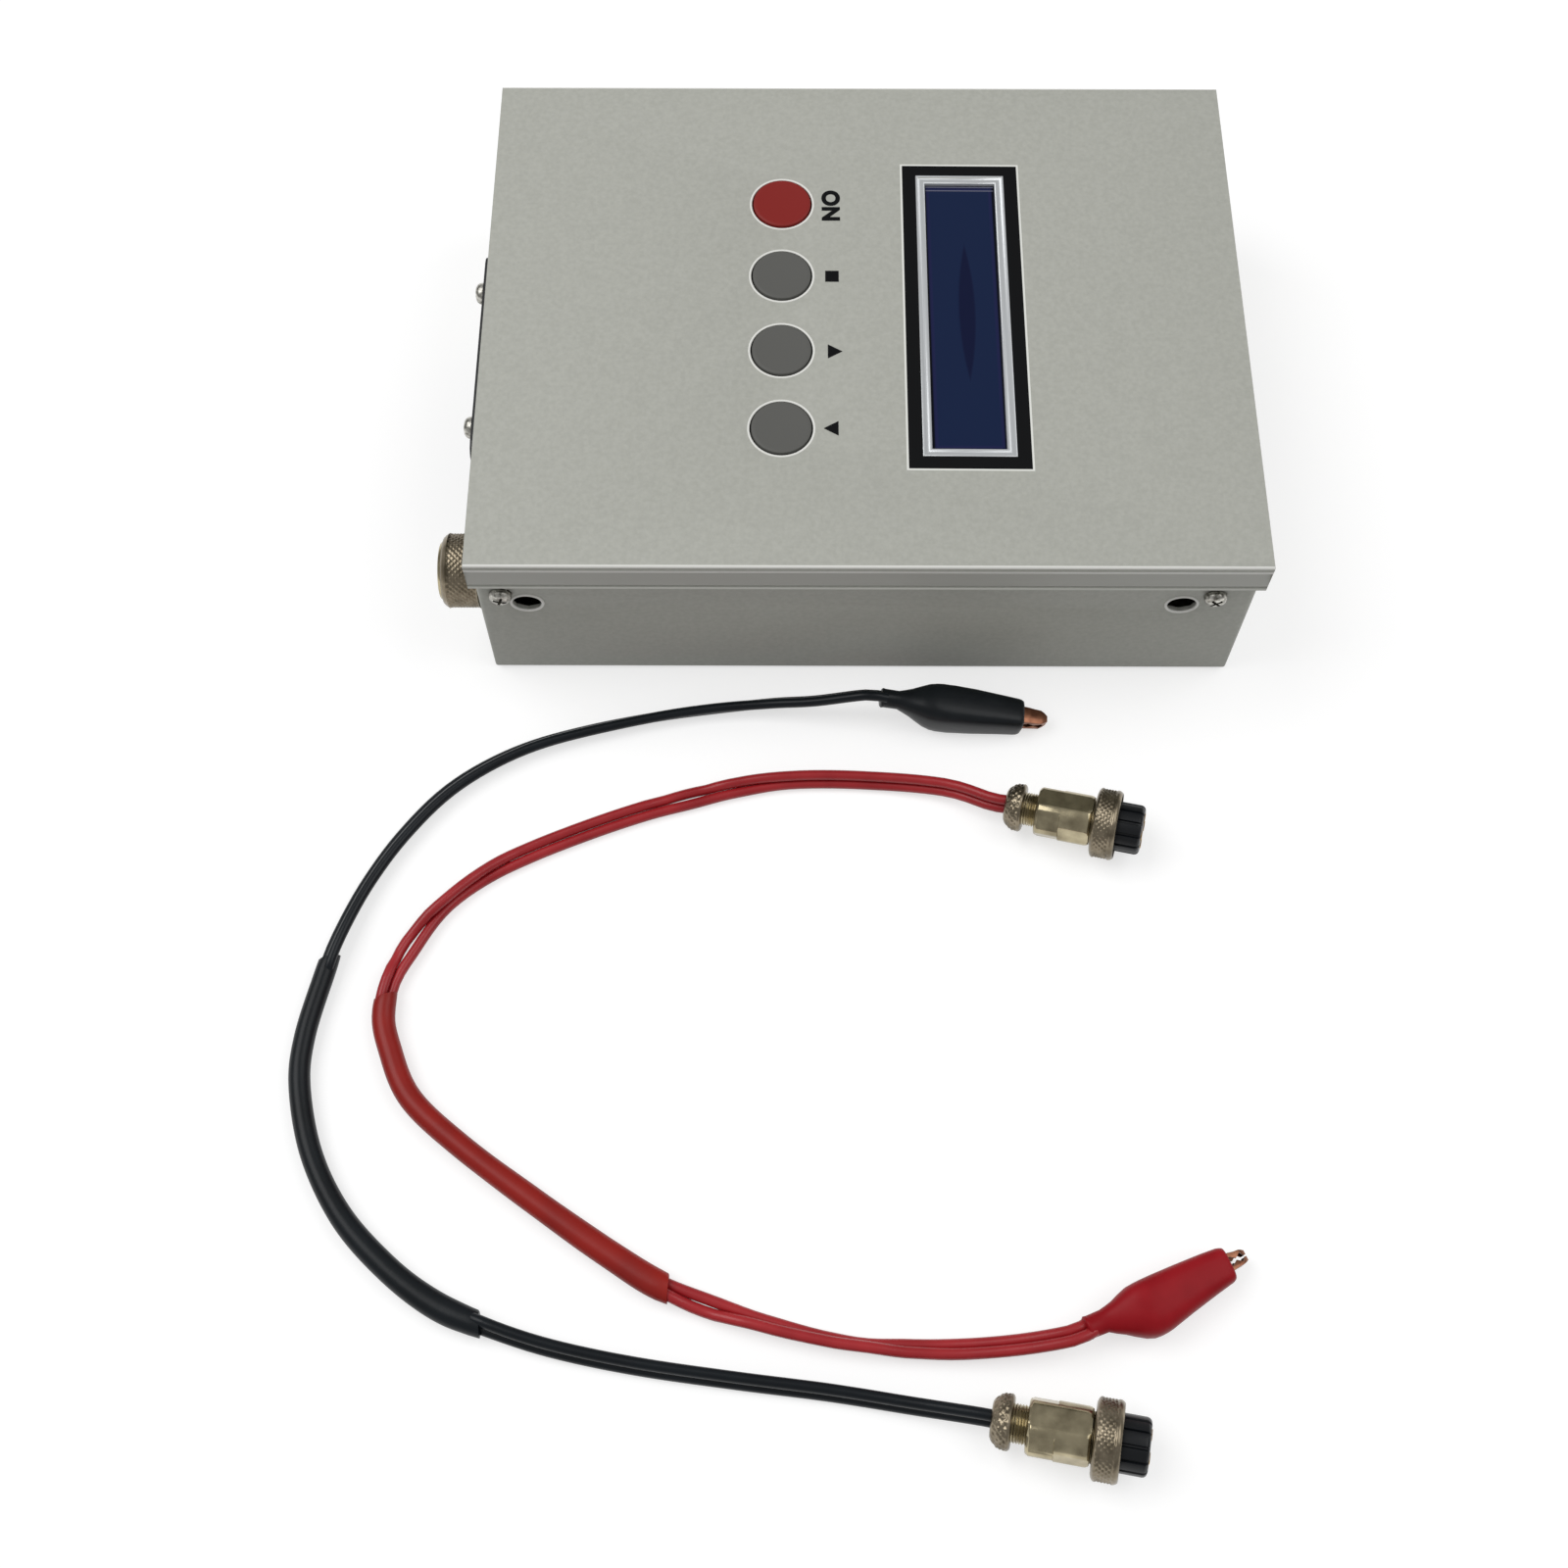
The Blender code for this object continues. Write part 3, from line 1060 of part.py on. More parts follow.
# Cords
def smooth_route(points):
    """Fine points along a Catmull-Rom curve through the route's own points."""
    ends = [points[0] * 2 - points[1]] + points + [points[-1] * 2 - points[-2]]
    fine = []
    for a, b, c, d in zip(ends, ends[1:], ends[2:], ends[3:]):
        steps = max(2, int((c - b).length / 0.0005))
        for i in range(steps):
            t = i / steps
            fine.append(0.5 * (2 * b + (c - a) * t + (2 * a - 5 * b + 4 * c - d) * t ** 2
                               + (3 * b - a - 3 * c + d) * t ** 3))
    fine.append(points[-1])
    return fine


def stretch(fine, start, end):
    """Evenly spaced points on the fine route between two lengths along it."""
    lengths = [0.0]
    for a, b in zip(fine, fine[1:]):
        lengths.append(lengths[-1] + (b - a).length)
    end = min(end, lengths[-1])
    count = max(2, math.ceil((end - start) / ROUTE_STEP))
    result = []
    for i in range(count + 1):
        goal = start + (end - start) * i / count
        j = max(k for k in range(len(lengths) - 1) if lengths[k] <= goal + 1e-9)
        share = (goal - lengths[j]) / (lengths[j + 1] - lengths[j])
        result.append(fine[j].lerp(fine[j + 1], share))
    return result


def tube(name, points, radius, resolution, parent, look, location=(0.0, 0.0, 0.0)):
    curve = bpy.data.curves.new(name, "CURVE")
    curve.dimensions = "3D"
    curve.bevel_depth = radius
    curve.bevel_resolution = resolution
    curve.use_fill_caps = True
    spline = curve.splines.new("POLY")
    spline.points.add(len(points) - 1)
    for point, where in zip(spline.points, points):
        point.co = (*where, 1.0)
    obj = bpy.data.objects.new(name, curve)
    bpy.context.collection.objects.link(obj)
    place(obj, parent, look, location)


def build_lead(colour, route, plug, clip, sleeve_span, wire_look, sleeve_look):
    """Cord from the plug's clamp to the clip's boot, in three stretches with the sleeve between."""
    bpy.context.view_layer.update()
    to_tester = tester.matrix_world.inverted()
    ends = []
    for base in (plug, clip):
        frame = to_tester @ base.matrix_world
        ends.append((frame @ Vector((-GAP, 0.0, 0.0)), frame @ Vector((-GAP - WIRE_DIAMETER, 0.0, 0.0))))
    (plug_end, plug_near), (clip_end, clip_near) = ends
    points = [plug_end, plug_near] + [Vector(point) for point in route] + [clip_near, clip_end]
    fine = smooth_route(points)
    start, end = sleeve_span
    wire = WIRE_DIAMETER / 2
    tube(f"{colour}_cord_plug_end", stretch(fine, 0.0, start - GAP), wire, 2, tester, wire_look)
    tube(f"{colour}_sleeve", stretch(fine, start, end), SLEEVE_DIAMETER / 2, 2, tester, sleeve_look)
    tube(f"{colour}_cord_clip_end", stretch(fine, end + GAP, math.inf), wire, 2, tester, wire_look)


build_tray()
build_cover()
build_case_screws()
build_feet()
build_display()
build_keypad_board()
build_buttons()
build_main_board()
build_heat_sink()
build_transistor()
build_capacitor()
build_jack()
build_fan_frame()
build_fan_rotor()
build_fan_guard()
build_fan_screws()
build_socket("side", (-TRAY_HALF_X, SIDE_SOCKET_Y, CASE_MIDDLE), (0.0, 0.0, math.pi))
build_socket("rear", (REAR_SOCKET_X, TRAY_HALF_Y, CASE_MIDDLE), (0.0, 0.0, math.pi / 2))
red_plug = build_plug("red", RED_PLUG_PLACE, RED_PLUG_HEADING)
red_clip = build_clip("red", RED_CLIP_PLACE, RED_CLIP_HEADING, True, RED_PVC)
build_lead("red", RED_ROUTE, red_plug, red_clip, RED_SLEEVE_SPAN, RED_PVC, RED_SHRINK)
black_plug = build_plug("black", BLACK_PLUG_PLACE, BLACK_PLUG_HEADING)
black_clip = build_clip("black", BLACK_CLIP_PLACE, BLACK_CLIP_HEADING, False, BLACK_PVC)
build_lead("black", BLACK_ROUTE, black_plug, black_clip, BLACK_SLEEVE_SPAN, BLACK_PVC, BLACK_PVC)
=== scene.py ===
import math

import bmesh
import bpy
from mathutils import Matrix, Vector


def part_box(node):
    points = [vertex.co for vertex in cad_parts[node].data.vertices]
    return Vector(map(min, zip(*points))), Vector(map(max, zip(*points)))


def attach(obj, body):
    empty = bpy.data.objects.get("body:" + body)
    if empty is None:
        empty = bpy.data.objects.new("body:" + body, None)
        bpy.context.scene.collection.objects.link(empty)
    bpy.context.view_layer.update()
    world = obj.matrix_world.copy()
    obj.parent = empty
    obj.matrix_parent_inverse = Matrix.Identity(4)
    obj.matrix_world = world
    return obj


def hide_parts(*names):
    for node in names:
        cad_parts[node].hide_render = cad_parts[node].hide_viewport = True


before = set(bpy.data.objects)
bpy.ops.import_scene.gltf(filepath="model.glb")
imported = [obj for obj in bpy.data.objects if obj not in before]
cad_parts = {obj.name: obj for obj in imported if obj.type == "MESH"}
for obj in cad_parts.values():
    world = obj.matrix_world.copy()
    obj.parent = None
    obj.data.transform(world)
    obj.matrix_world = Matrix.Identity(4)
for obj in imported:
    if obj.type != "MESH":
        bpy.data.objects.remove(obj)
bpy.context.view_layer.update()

# Camera
# The photograph looks down on the front of the case at about 63 degrees. Its optical axis lies
# above the middle of the frame, so the lens is shifted by a tenth of the frame's width.
CASE_MIDDLE = Vector((0.0038, -0.00355, 0.002))
camera_data = bpy.data.cameras.new("camera")
camera_data.sensor_width = 36.0
camera_data.lens = 46.92
camera_data.shift_y = -0.1
camera_data.clip_start = 0.01
camera = bpy.data.objects.new("camera", camera_data)
bpy.context.scene.collection.objects.link(camera)
looks_along = Vector((0.0003, 0.4602, -0.8878)).normalized()
camera_right = Vector((1.0, 0.0021, 0.0015)).normalized()
camera_up = camera_right.cross(looks_along).normalized()
camera_right = looks_along.cross(camera_up)
camera.matrix_world = Matrix.Translation(CASE_MIDDLE + Vector((-0.01569, -0.24073, 0.37164))) @ Matrix(
    (camera_right, camera_up, -looks_along)).transposed().to_4x4()
bpy.context.scene.camera = camera
bpy.context.scene.view_settings.view_transform = "Standard"


# Cords
# Each lead is a pair of thin PVC-insulated wires, one for the current and one for sensing. They
# leave the plug's clamp almost one above the other, and the red pair spreads and lies nearly
# flat by its clip. A route is the pair's path in millimetres, from the plug to the clip.
WIRE_RADIUS = 0.00102
RED_CORD_LENGTH = 0.2893
BLACK_CORD_LENGTH = 0.3021
RED_ROUTE = (
    (31.8, -91.9, 4.7), (28.5, -91.1, 4.3), (19.7, -87.5, 2.8), (3.8, -85.6, 1.6), (-13.6, -85.9, 1.6),
    (-30.8, -89.5, 1.6), (-49.6, -95.9, 1.6), (-66.8, -103.9, 1.6), (-78.0, -113.5, 2.2),
    (-84.3, -123.8, 2.5), (-86.2, -132.6, 2.4), (-84.4, -139.9, 2.4), (-79.9, -148.9, 2.4),
    (-70.3, -157.4, 2.4), (-55.9, -167.6, 2.4), (-42.0, -176.8, 2.4), (-31.8, -182.6, 2.5),
    (-17.9, -187.4, 2.3), (-1.0, -191.3, 1.7), (14.3, -192.4, 1.8), (27.2, -192.0, 3.4),
    (37.9, -190.6, 5.3), (41.8, -188.9, 5.1),
)
BLACK_ROUTE = (
    (24.0, -204.0, 4.7), (20.7, -203.4, 4.3), (10.3, -201.7, 2.6), (-3.0, -199.6, 1.6), (-19.9, -197.6, 1.6),
    (-37.0, -195.3, 1.6), (-52.4, -192.3, 2.1), (-64.4, -188.6, 2.5), (-72.9, -185.0, 2.4),
    (-81.5, -179.0, 2.4), (-90.3, -170.2, 2.4), (-96.8, -159.2, 2.4), (-100.3, -146.9, 2.4),
    (-100.4, -137.7, 2.4), (-98.2, -126.5, 2.4), (-96.0, -118.4, 2.6), (-91.6, -107.3, 1.8),
    (-85.2, -96.8, 1.6), (-76.6, -87.2, 1.6), (-64.9, -79.8, 1.6), (-51.1, -75.1, 1.6),
    (-31.6, -71.0, 1.6), (-15.2, -69.6, 3.0), (-5.7, -70.2, 5.6), (4.4, -70.5, 9.1), (8.6, -70.7, 8.4),
)
# Width over the pair, and then over its sleeve, as (share of the way from the plug, millimetres).
RED_WIDTHS = ((0.0, 3.0), (0.15, 3.1), (0.19, 3.85), (0.22, 4.4), (0.25, 4.0), (0.33, 4.0), (0.39, 3.0),
              (0.43, 4.5), (0.46, 3.6), (0.72, 3.6), (0.765, 4.2), (0.8, 3.4), (0.84, 2.95), (0.86, 2.75),
              (0.89, 3.5), (0.92, 3.75), (1.0, 3.8))
BLACK_WIDTHS = ((0.0, 2.8), (0.28, 2.9), (0.34, 3.4), (0.5, 3.2), (0.6, 3.25), (0.7, 3.4), (0.8, 3.1),
                (0.88, 2.75), (0.94, 3.1), (1.0, 3.1))
RED_SLEEVE = ((0.465, 4.15), (0.48, 4.35), (0.6, 4.35), (0.64, 4.6), (0.69, 4.9), (0.73, 5.15), (0.742, 5.0))
BLACK_SLEEVE = ((0.3, 4.5), (0.32, 4.85), (0.37, 4.5), (0.44, 4.05), (0.56, 3.9), (0.573, 3.8))
# The pair's underside hangs this far below its route, which itself stays above the floor.
UNDER_ROUTE, LEAST_ROUTE_HEIGHT = 0.00158, 0.0017
SQUEEZE, CUT = 0.8, 0.01


def linear(code):
    """An sRGB hex colour as the linear colour that a shader's socket takes."""
    channels = [int(code[i:i + 2], 16) / 255 for i in (1, 3, 5)]
    return [c / 12.92 if c <= 0.04045 else ((c + 0.055) / 1.055) ** 2.4 for c in channels] + [1.0]


def add_node(material, kind, settings, inputs):
    """Add a node with its settings; an input that is another node's socket is linked."""
    node = material.node_tree.nodes.new(kind)
    for name, value in settings.items():
        setattr(node, name, value)
    for name, value in inputs.items():
        if isinstance(value, bpy.types.NodeSocket):
            material.node_tree.links.new(value, node.inputs[name])
        else:
            node.inputs[name].default_value = value
    return node


def new_finish(name, code, roughness, metallic=0.0, specular=0.5):
    """A material with its shader's main values set. Returns both."""
    material = bpy.data.materials.new(name)
    material.use_nodes = True
    shader = material.node_tree.nodes["Principled BSDF"]
    shader.inputs["Base Color"].default_value = linear(code)
    shader.inputs["Roughness"].default_value = roughness
    shader.inputs["Metallic"].default_value = metallic
    shader.inputs["Specular IOR Level"].default_value = specular
    return material, shader


def grain(material, shader, size_mm, depth_mm, detail=3.0):
    """Bump from noise whose features are about size_mm across and depth_mm deep."""
    where = add_node(material, "ShaderNodeTexCoord", {}, {})
    noise = add_node(material, "ShaderNodeTexNoise", {},
                     {"Vector": where.outputs["Object"], "Scale": 1000 / size_mm, "Detail": detail})
    bump = add_node(material, "ShaderNodeBump", {},
                    {"Height": noise.outputs["Fac"], "Distance": depth_mm / 1000, "Strength": 1.0})
    material.node_tree.links.new(bump.outputs["Normal"], shader.inputs["Normal"])


def mottle(material, shader, dark, pale, size_mm, detail=2.0):
    """Colour that wanders between two tones over patches of about size_mm."""
    where = add_node(material, "ShaderNodeTexCoord", {}, {})
    noise = add_node(material, "ShaderNodeTexNoise", {},
                     {"Vector": where.outputs["Object"], "Scale": 1000 / size_mm, "Detail": detail})
    ramp = add_node(material, "ShaderNodeValToRGB", {}, {"Fac": noise.outputs["Fac"]})
    ramp.color_ramp.elements[0].position = 0.3
    ramp.color_ramp.elements[0].color = linear(dark)
    ramp.color_ramp.elements[1].position = 0.7
    ramp.color_ramp.elements[1].color = linear(pale)
    material.node_tree.links.new(ramp.outputs["Color"], shader.inputs["Base Color"])


def smooth_route(route):
    """Fine points in metres on one smooth curve through a route given in millimetres."""
    points = [Vector(point) / 1000 for point in route]
    ends = [points[0] * 2 - points[1]] + points + [points[-1] * 2 - points[-2]]
    fine = []
    for a, b, c, d in zip(ends, ends[1:], ends[2:], ends[3:]):
        steps = max(2, int((c - b).length / 0.001))
        for i in range(steps):
            t = i / steps
            fine.append(0.5 * (2 * b + (c - a) * t + (2 * a - 5 * b + 4 * c - d) * t ** 2
                               + (3 * b - a - 3 * c + d) * t ** 3))
    fine.append(points[-1])
    return fine


def sideways(points, i):
    """Level direction across a route at one of its points."""
    ahead = points[min(i + 1, len(points) - 1)] - points[max(i - 1, 0)]
    return ahead.cross(Vector((0, 0, 1))).normalized()


def read_at(share, table):
    """Millimetres at a share of the way along, eased between given (share, millimetres)."""
    for (a, start), (b, end) in zip(table, table[1:]):
        if share <= b:
            t = max(0.0, (share - a) / (b - a))
            return start + (end - start) * t * t * (3 - 2 * t)
    return table[-1][1]


red_pvc, red_pvc_shader = new_finish("red_pvc_insulation", "#9E2026", 0.3, specular=0.4)
grain(red_pvc, red_pvc_shader, 1.6, 0.02)
mottle(red_pvc, red_pvc_shader, "#92191F", "#AA282D", 9.0)
black_pvc, black_pvc_shader = new_finish("black_pvc_insulation", "#0D1217", 0.3, specular=0.25)
grain(black_pvc, black_pvc_shader, 1.6, 0.02)
mottle(black_pvc, black_pvc_shader, "#0A0F14", "#11171C", 9.0)

cord_paths = {}
for colour, route, widths, sleeve, look, length in (
        ("red", RED_ROUTE, RED_WIDTHS, RED_SLEEVE, red_pvc, RED_CORD_LENGTH),
        ("black", BLACK_ROUTE, BLACK_WIDTHS, BLACK_SLEEVE, black_pvc, BLACK_CORD_LENGTH)):
    fine = smooth_route(route)
    cord_paths[colour] = fine
    ends_at = len(fine) - 1
    for which, side in (("current", 1), ("sense", -1)):
        wire = bpy.data.curves.new(f"{colour}_{which}_wire", "CURVE")
        wire.dimensions = "3D"
        wire.bevel_depth = WIRE_RADIUS
        wire.bevel_resolution = 4
        wire.use_fill_caps = True
        spline = wire.splines.new("POLY")
        chosen = [i for i in range(0, ends_at, 2)] + [ends_at]
        spline.points.add(len(chosen) - 1)
        for target, i in zip(spline.points, chosen):
            share = i / ends_at
            squeezed = sleeve[0][0] + CUT < share < sleeve[-1][0] - CUT
            radius = WIRE_RADIUS * (SQUEEZE if squeezed else 1.0)
            reach = min(read_at(share, widths) / 2000 - radius, radius if squeezed else 1.0)
            rise = math.sqrt(max(0.0, radius ** 2 - reach ** 2))
            spot = fine[i] + sideways(fine, i) * reach * side
            spot.z = max(fine[i].z, LEAST_ROUTE_HEIGHT) - UNDER_ROUTE + radius + rise * (1 + side)
            target.co = (*spot, 1.0)
            target.radius = radius / WIRE_RADIUS
        wire_piece = bpy.data.objects.new(f"{colour}_{which}_wire", wire)
        bpy.context.scene.collection.objects.link(wire_piece)
        wire.materials.append(look)
        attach(wire_piece, "tester")
        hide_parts(f"{colour}_cord_plug_end", f"{colour}_cord_clip_end")


# Sleeves
# A soft heat-shrink sleeve holds each pair together round the bend. It is brighter than the
# wires on the red lead, wider than the pair, and ends in a slanting cut.
SLEEVE_HALF_HEIGHT = 0.00205
red_shrink, red_shrink_shader = new_finish("red_heat_shrink", "#931B12", 0.38, specular=0.3)
grain(red_shrink, red_shrink_shader, 2.2, 0.03)
mottle(red_shrink, red_shrink_shader, "#84160F", "#9A1C12", 12.0)
black_shrink, black_shrink_shader = new_finish("black_heat_shrink", "#0C1116", 0.36, specular=0.25)
grain(black_shrink, black_shrink_shader, 2.2, 0.03)
mottle(black_shrink, black_shrink_shader, "#090E12", "#10161B", 12.0)


def finished(bm, name, look, body, replaced=(), place_at=None, smooth=35.0):
    """Make a bmesh into a piece in its place, smooth up to an angle, riding on its body."""
    if place_at is not None:
        bmesh.ops.transform(bm, matrix=place_at, verts=bm.verts)
    mesh = bpy.data.meshes.new(name)
    bm.to_mesh(mesh)
    bm.free()
    mesh.shade_smooth()
    mesh.set_sharp_from_angle(angle=math.radians(smooth))
    made = bpy.data.objects.new(name, mesh)
    bpy.context.scene.collection.objects.link(made)
    made.data.materials.append(look)
    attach(made, body)
    if replaced:
        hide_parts(*replaced)
    return made


def next_ring(bm, edges):
    """Extrude a ring of edges on the spot. Returns the new ring's vertices and edges."""
    made_now = bmesh.ops.extrude_edge_only(bm, edges=edges)["geom"]
    return ([g for g in made_now if isinstance(g, bmesh.types.BMVert)],
            [g for g in made_now if isinstance(g, bmesh.types.BMEdge)])


for colour, look, table, slot_name in (("red", red_shrink, RED_SLEEVE, "red_heat_shrink"),
                                       ("black", black_shrink, BLACK_SLEEVE, "black_pvc")):
    whole = cord_paths[colour]
    shares = [i / (len(whole) - 1) for i in range(len(whole))]
    kept = [(share, point) for share, point in zip(shares, whole) if table[0][0] <= share <= table[-1][0]]
    points = [point for _, point in kept]
    last = len(points) - 1
    bm = bmesh.new()
    ring = bmesh.ops.create_circle(bm, segments=28, radius=1.0)["verts"]
    unit = [v.co.copy() for v in ring]
    edges = list(bm.edges)
    for i, point in enumerate(points):
        if i:
            ring, edges = next_ring(bm, edges)
        ahead = (points[min(i + 1, last)] - points[max(i - 1, 0)]).normalized()
        across = ahead.cross(Vector((0, 0, 1))).normalized()
        upward = across.cross(ahead)
        end_cut = 0.94 if i in (0, last) else 1.0
        half = read_at(kept[i][0], table) / 2000 * end_cut
        for vert, flat in zip(ring, unit):
            slant = 0.0009 * flat.x * (i == 0 or i == last)
            tall = min(half, SLEEVE_HALF_HEIGHT * end_cut)
            vert.co = point + across * flat.x * half + upward * flat.y * tall + ahead * slant
    rims = [e for e in bm.edges if e.is_boundary]
    inner = bmesh.ops.extrude_edge_only(bm, edges=rims)["geom"]
    for end_point in (points[0], points[-1]):
        for vert in [g for g in inner if isinstance(g, bmesh.types.BMVert)]:
            if (vert.co - end_point).length < 0.004:
                vert.co = vert.co.lerp(end_point, 0.22)
    bmesh.ops.holes_fill(bm, edges=[e for e in bm.edges if e.is_boundary], sides=0)
    bmesh.ops.recalc_face_normals(bm, faces=bm.faces)
    finished(bm, f"{colour}_shrink_sleeve", look, "tester", [f"{colour}_sleeve"], smooth=50)


# Case
# The base tray and the cover are folded from steel sheet and powder coated in one light grey.
# The coat has the fine orange-peel skin of such paint, and the cover has painted highlights along its folds.
coat, coat_shader = new_finish("powder_coated_steel", "#ADAEA6", 0.52, specular=0.4)
grain(coat, coat_shader, 0.9, 0.032, 4.0)
mottle(coat, coat_shader, "#A8A9A1", "#B1B2AA", 0.9, 3.0)


def eased_copy(node, width, segments=2, angle=35.0):
    """A CAD node's mesh with doubles merged, flat faces joined and its sharp edges rounded."""
    bm = bmesh.new()
    bm.from_mesh(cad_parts[node].data)
    bmesh.ops.remove_doubles(bm, verts=bm.verts, dist=1e-6)
    bmesh.ops.dissolve_limit(bm, angle_limit=math.radians(0.5), use_dissolve_boundaries=False,
                             verts=bm.verts, edges=bm.edges, delimit={"NORMAL"})
    sharp = [e for e in bm.edges if e.is_manifold and e.calc_face_angle() > math.radians(angle)]
    bmesh.ops.bevel(bm, geom=sharp, offset=width, offset_type="OFFSET", segments=segments, profile=0.5,
                    affect="EDGES", material=-1, clamp_overlap=True)
    return bm


# The tray reaches 1.4 mm lower than the solid with a tighter bend, and its two front holes lie
# where the photograph has them, each given as (place in the solid, place in the photograph).
TRAY_HOLES = (((-0.0602, 0.0303), (-0.061, 0.0281)), ((0.0644, 0.0303), (0.0644, 0.0281)))
TRAY_BEND, TIGHTER = 0.0015, 0.35
TRAY_DROP, DROP_STARTS, DROP_RUN = 0.0014, 0.006, 0.004
FRONT_BAND, HOLE_REACH, HOLE_GROWTH = 0.0012, 0.0034, 1.11
tray_low, tray_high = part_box("base_tray")
tray_middle = (tray_low + tray_high) / 2
tray_half = (tray_high - tray_low) / 2
bm = eased_copy("base_tray", 0.00018)
for vert in bm.verts:
    if vert.co.z < tray_low.z + TRAY_BEND + 1e-5:
        beside = tray_half.x - abs(vert.co.x - tray_middle.x)
        before = tray_half.y - abs(vert.co.y - tray_middle.y)
        if min(beside, before) < TRAY_BEND + 1e-5:
            vert.co.z = tray_low.z + (vert.co.z - tray_low.z) * TIGHTER
        if beside < TRAY_BEND + 1e-5:
            reach = tray_half.x - beside * TIGHTER
            vert.co.x = tray_middle.x + math.copysign(reach, vert.co.x - tray_middle.x)
        if before < TRAY_BEND + 1e-5:
            reach = tray_half.y - before * TIGHTER
            vert.co.y = tray_middle.y + math.copysign(reach, vert.co.y - tray_middle.y)
    if vert.co.z < DROP_STARTS:
        vert.co.z -= TRAY_DROP * min(1.0, (DROP_STARTS - vert.co.z) / DROP_RUN)
    for (old_x, old_z), (new_x, new_z) in TRAY_HOLES:
        beside, above = vert.co.x - old_x, vert.co.z - old_z
        if vert.co.y < tray_low.y + FRONT_BAND and math.hypot(beside, above) < HOLE_REACH:
            vert.co.x = new_x + HOLE_GROWTH * beside
            vert.co.z = new_z + HOLE_GROWTH * above
            break
finished(bm, "folded_tray", coat, "tester", ["base_tray"])

# The cover's bends are pressed sharp, with a second crease below the first. Under it each lip
# leans out to a fine groove and a rolled foot. The creases carry painted highlights, and the lip's
# face and foot are painted lighter, as if more light fell on them. The profile is (drop below the
# top, inset from the face) in mm. A band of painted light is (start, end, finish), where finish 1
# is the lighter painted coat and 2 the painted highlight.
FOLD = ((0.0, 1.4), (0.01, 0.5), (0.1, 0.18), (0.4, 0.02), (1.45, 0.0), (2.15, 0.0), (2.3, 0.5), (7.0, 0.06),
        (7.15, 0.36), (7.55, 0.36), (7.7, 0.0), (8.5, 0.0))
BEND = 1.4
PAINTED_LIGHT_BANDS = ((0.01, 0.4, 2), (1.45, 2.15, 2), (2.3, 7.0, 1), (7.7, 8.3, 1))
COVER_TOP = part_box("top_cover")[1].z
# Both coats stand for light: a lighter coat painted on the lip, and a near-white painted highlight on creases
# and hole edges.
painted_lighter_coat, painted_lighter_shader = new_finish("powder_coat_painted_lighter", "#C4C5BE", 0.5, specular=0.4)
grain(painted_lighter_coat, painted_lighter_shader, 0.9, 0.02, 4.0)
painted_highlight_coat, painted_highlight_shader = new_finish("powder_coat_painted_highlight", "#E6E6E1", 0.45)
grain(painted_highlight_coat, painted_highlight_shader, 0.9, 0.01)


def fold_inset(drop):
    """Inset of the pressed lip at a drop below the cover's top, read between the profile's points."""
    for (above, start), (below, end) in zip(FOLD, FOLD[1:]):
        if drop <= below:
            return start + (end - start) * (drop - above) / (below - above)
    return FOLD[-1][1]


bm = eased_copy("top_cover", 0.00018)
SOLID_LIP = 7.6
cover_low, cover_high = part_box("top_cover")
face_reach = (cover_high.y - cover_low.y) / 2
cover_middle = (cover_high.y + cover_low.y) / 2
for vert in bm.verts:
    drop = (COVER_TOP - vert.co.z) * 1000
    if SOLID_LIP - 0.3 < drop < SOLID_LIP + 0.05 and face_reach - abs(vert.co.y - cover_middle) < 0.0013:
        vert.co.z -= (FOLD[-1][0] - SOLID_LIP) / 1000
for drop, _ in FOLD[1:-1]:
    bmesh.ops.bisect_plane(bm, geom=list(bm.verts) + list(bm.edges) + list(bm.faces), dist=1e-6,
                           plane_co=(0, 0, COVER_TOP - drop / 1000), plane_no=(0, 0, 1))
for vert in bm.verts:
    drop = (COVER_TOP - vert.co.z) * 1000
    inset = (face_reach - abs(vert.co.y - cover_middle)) * 1000
    if drop > FOLD[-1][0] - 0.3 or inset > BEND:
        continue
    on_bend = drop < BEND and math.hypot(BEND - inset, BEND - drop) > BEND - 0.15
    if on_bend or (drop >= BEND and inset < 0.05):
        reach = face_reach - fold_inset(max(0.0, drop)) / 1000
        vert.co.y = cover_middle + math.copysign(reach, vert.co.y - cover_middle)
bm.faces.ensure_lookup_table()
# Faces on the outside in each band get a painted-light finish.
for face in bm.faces:
    middle = face.calc_center_median()
    drop = (COVER_TOP - middle.z) * 1000
    inset = (face_reach - abs(middle.y - cover_middle)) * 1000
    outside = inset < min(1.38, fold_inset(max(0.0, drop)) + 0.12) and abs(face.normal.x) < 0.5
    for start, end, finish in PAINTED_LIGHT_BANDS:
        if outside and start <= drop <= end:
            face.material_index = finish
cover_piece = finished(bm, "folded_cover", coat, "tester", ["top_cover"])
cover_piece.data.materials.append(painted_lighter_coat)
cover_piece.data.materials.append(painted_highlight_coat)


# Display border and key marks
# They are screen printed on the cover in black. The border has a thin pale outline, the red
# key is marked ON, and the grey keys have plain marks. Each print is a skin of ink.
INK = 0.00005
black_ink, black_ink_shader = new_finish("black_screen_ink", "#08090B", 0.5, specular=0.12)
grain(black_ink, black_ink_shader, 0.9, 0.015)
pale_ink, pale_ink_shader = new_finish("pale_screen_ink", "#E2E3DD", 0.5)
grain(pale_ink, pale_ink_shader, 0.9, 0.015)


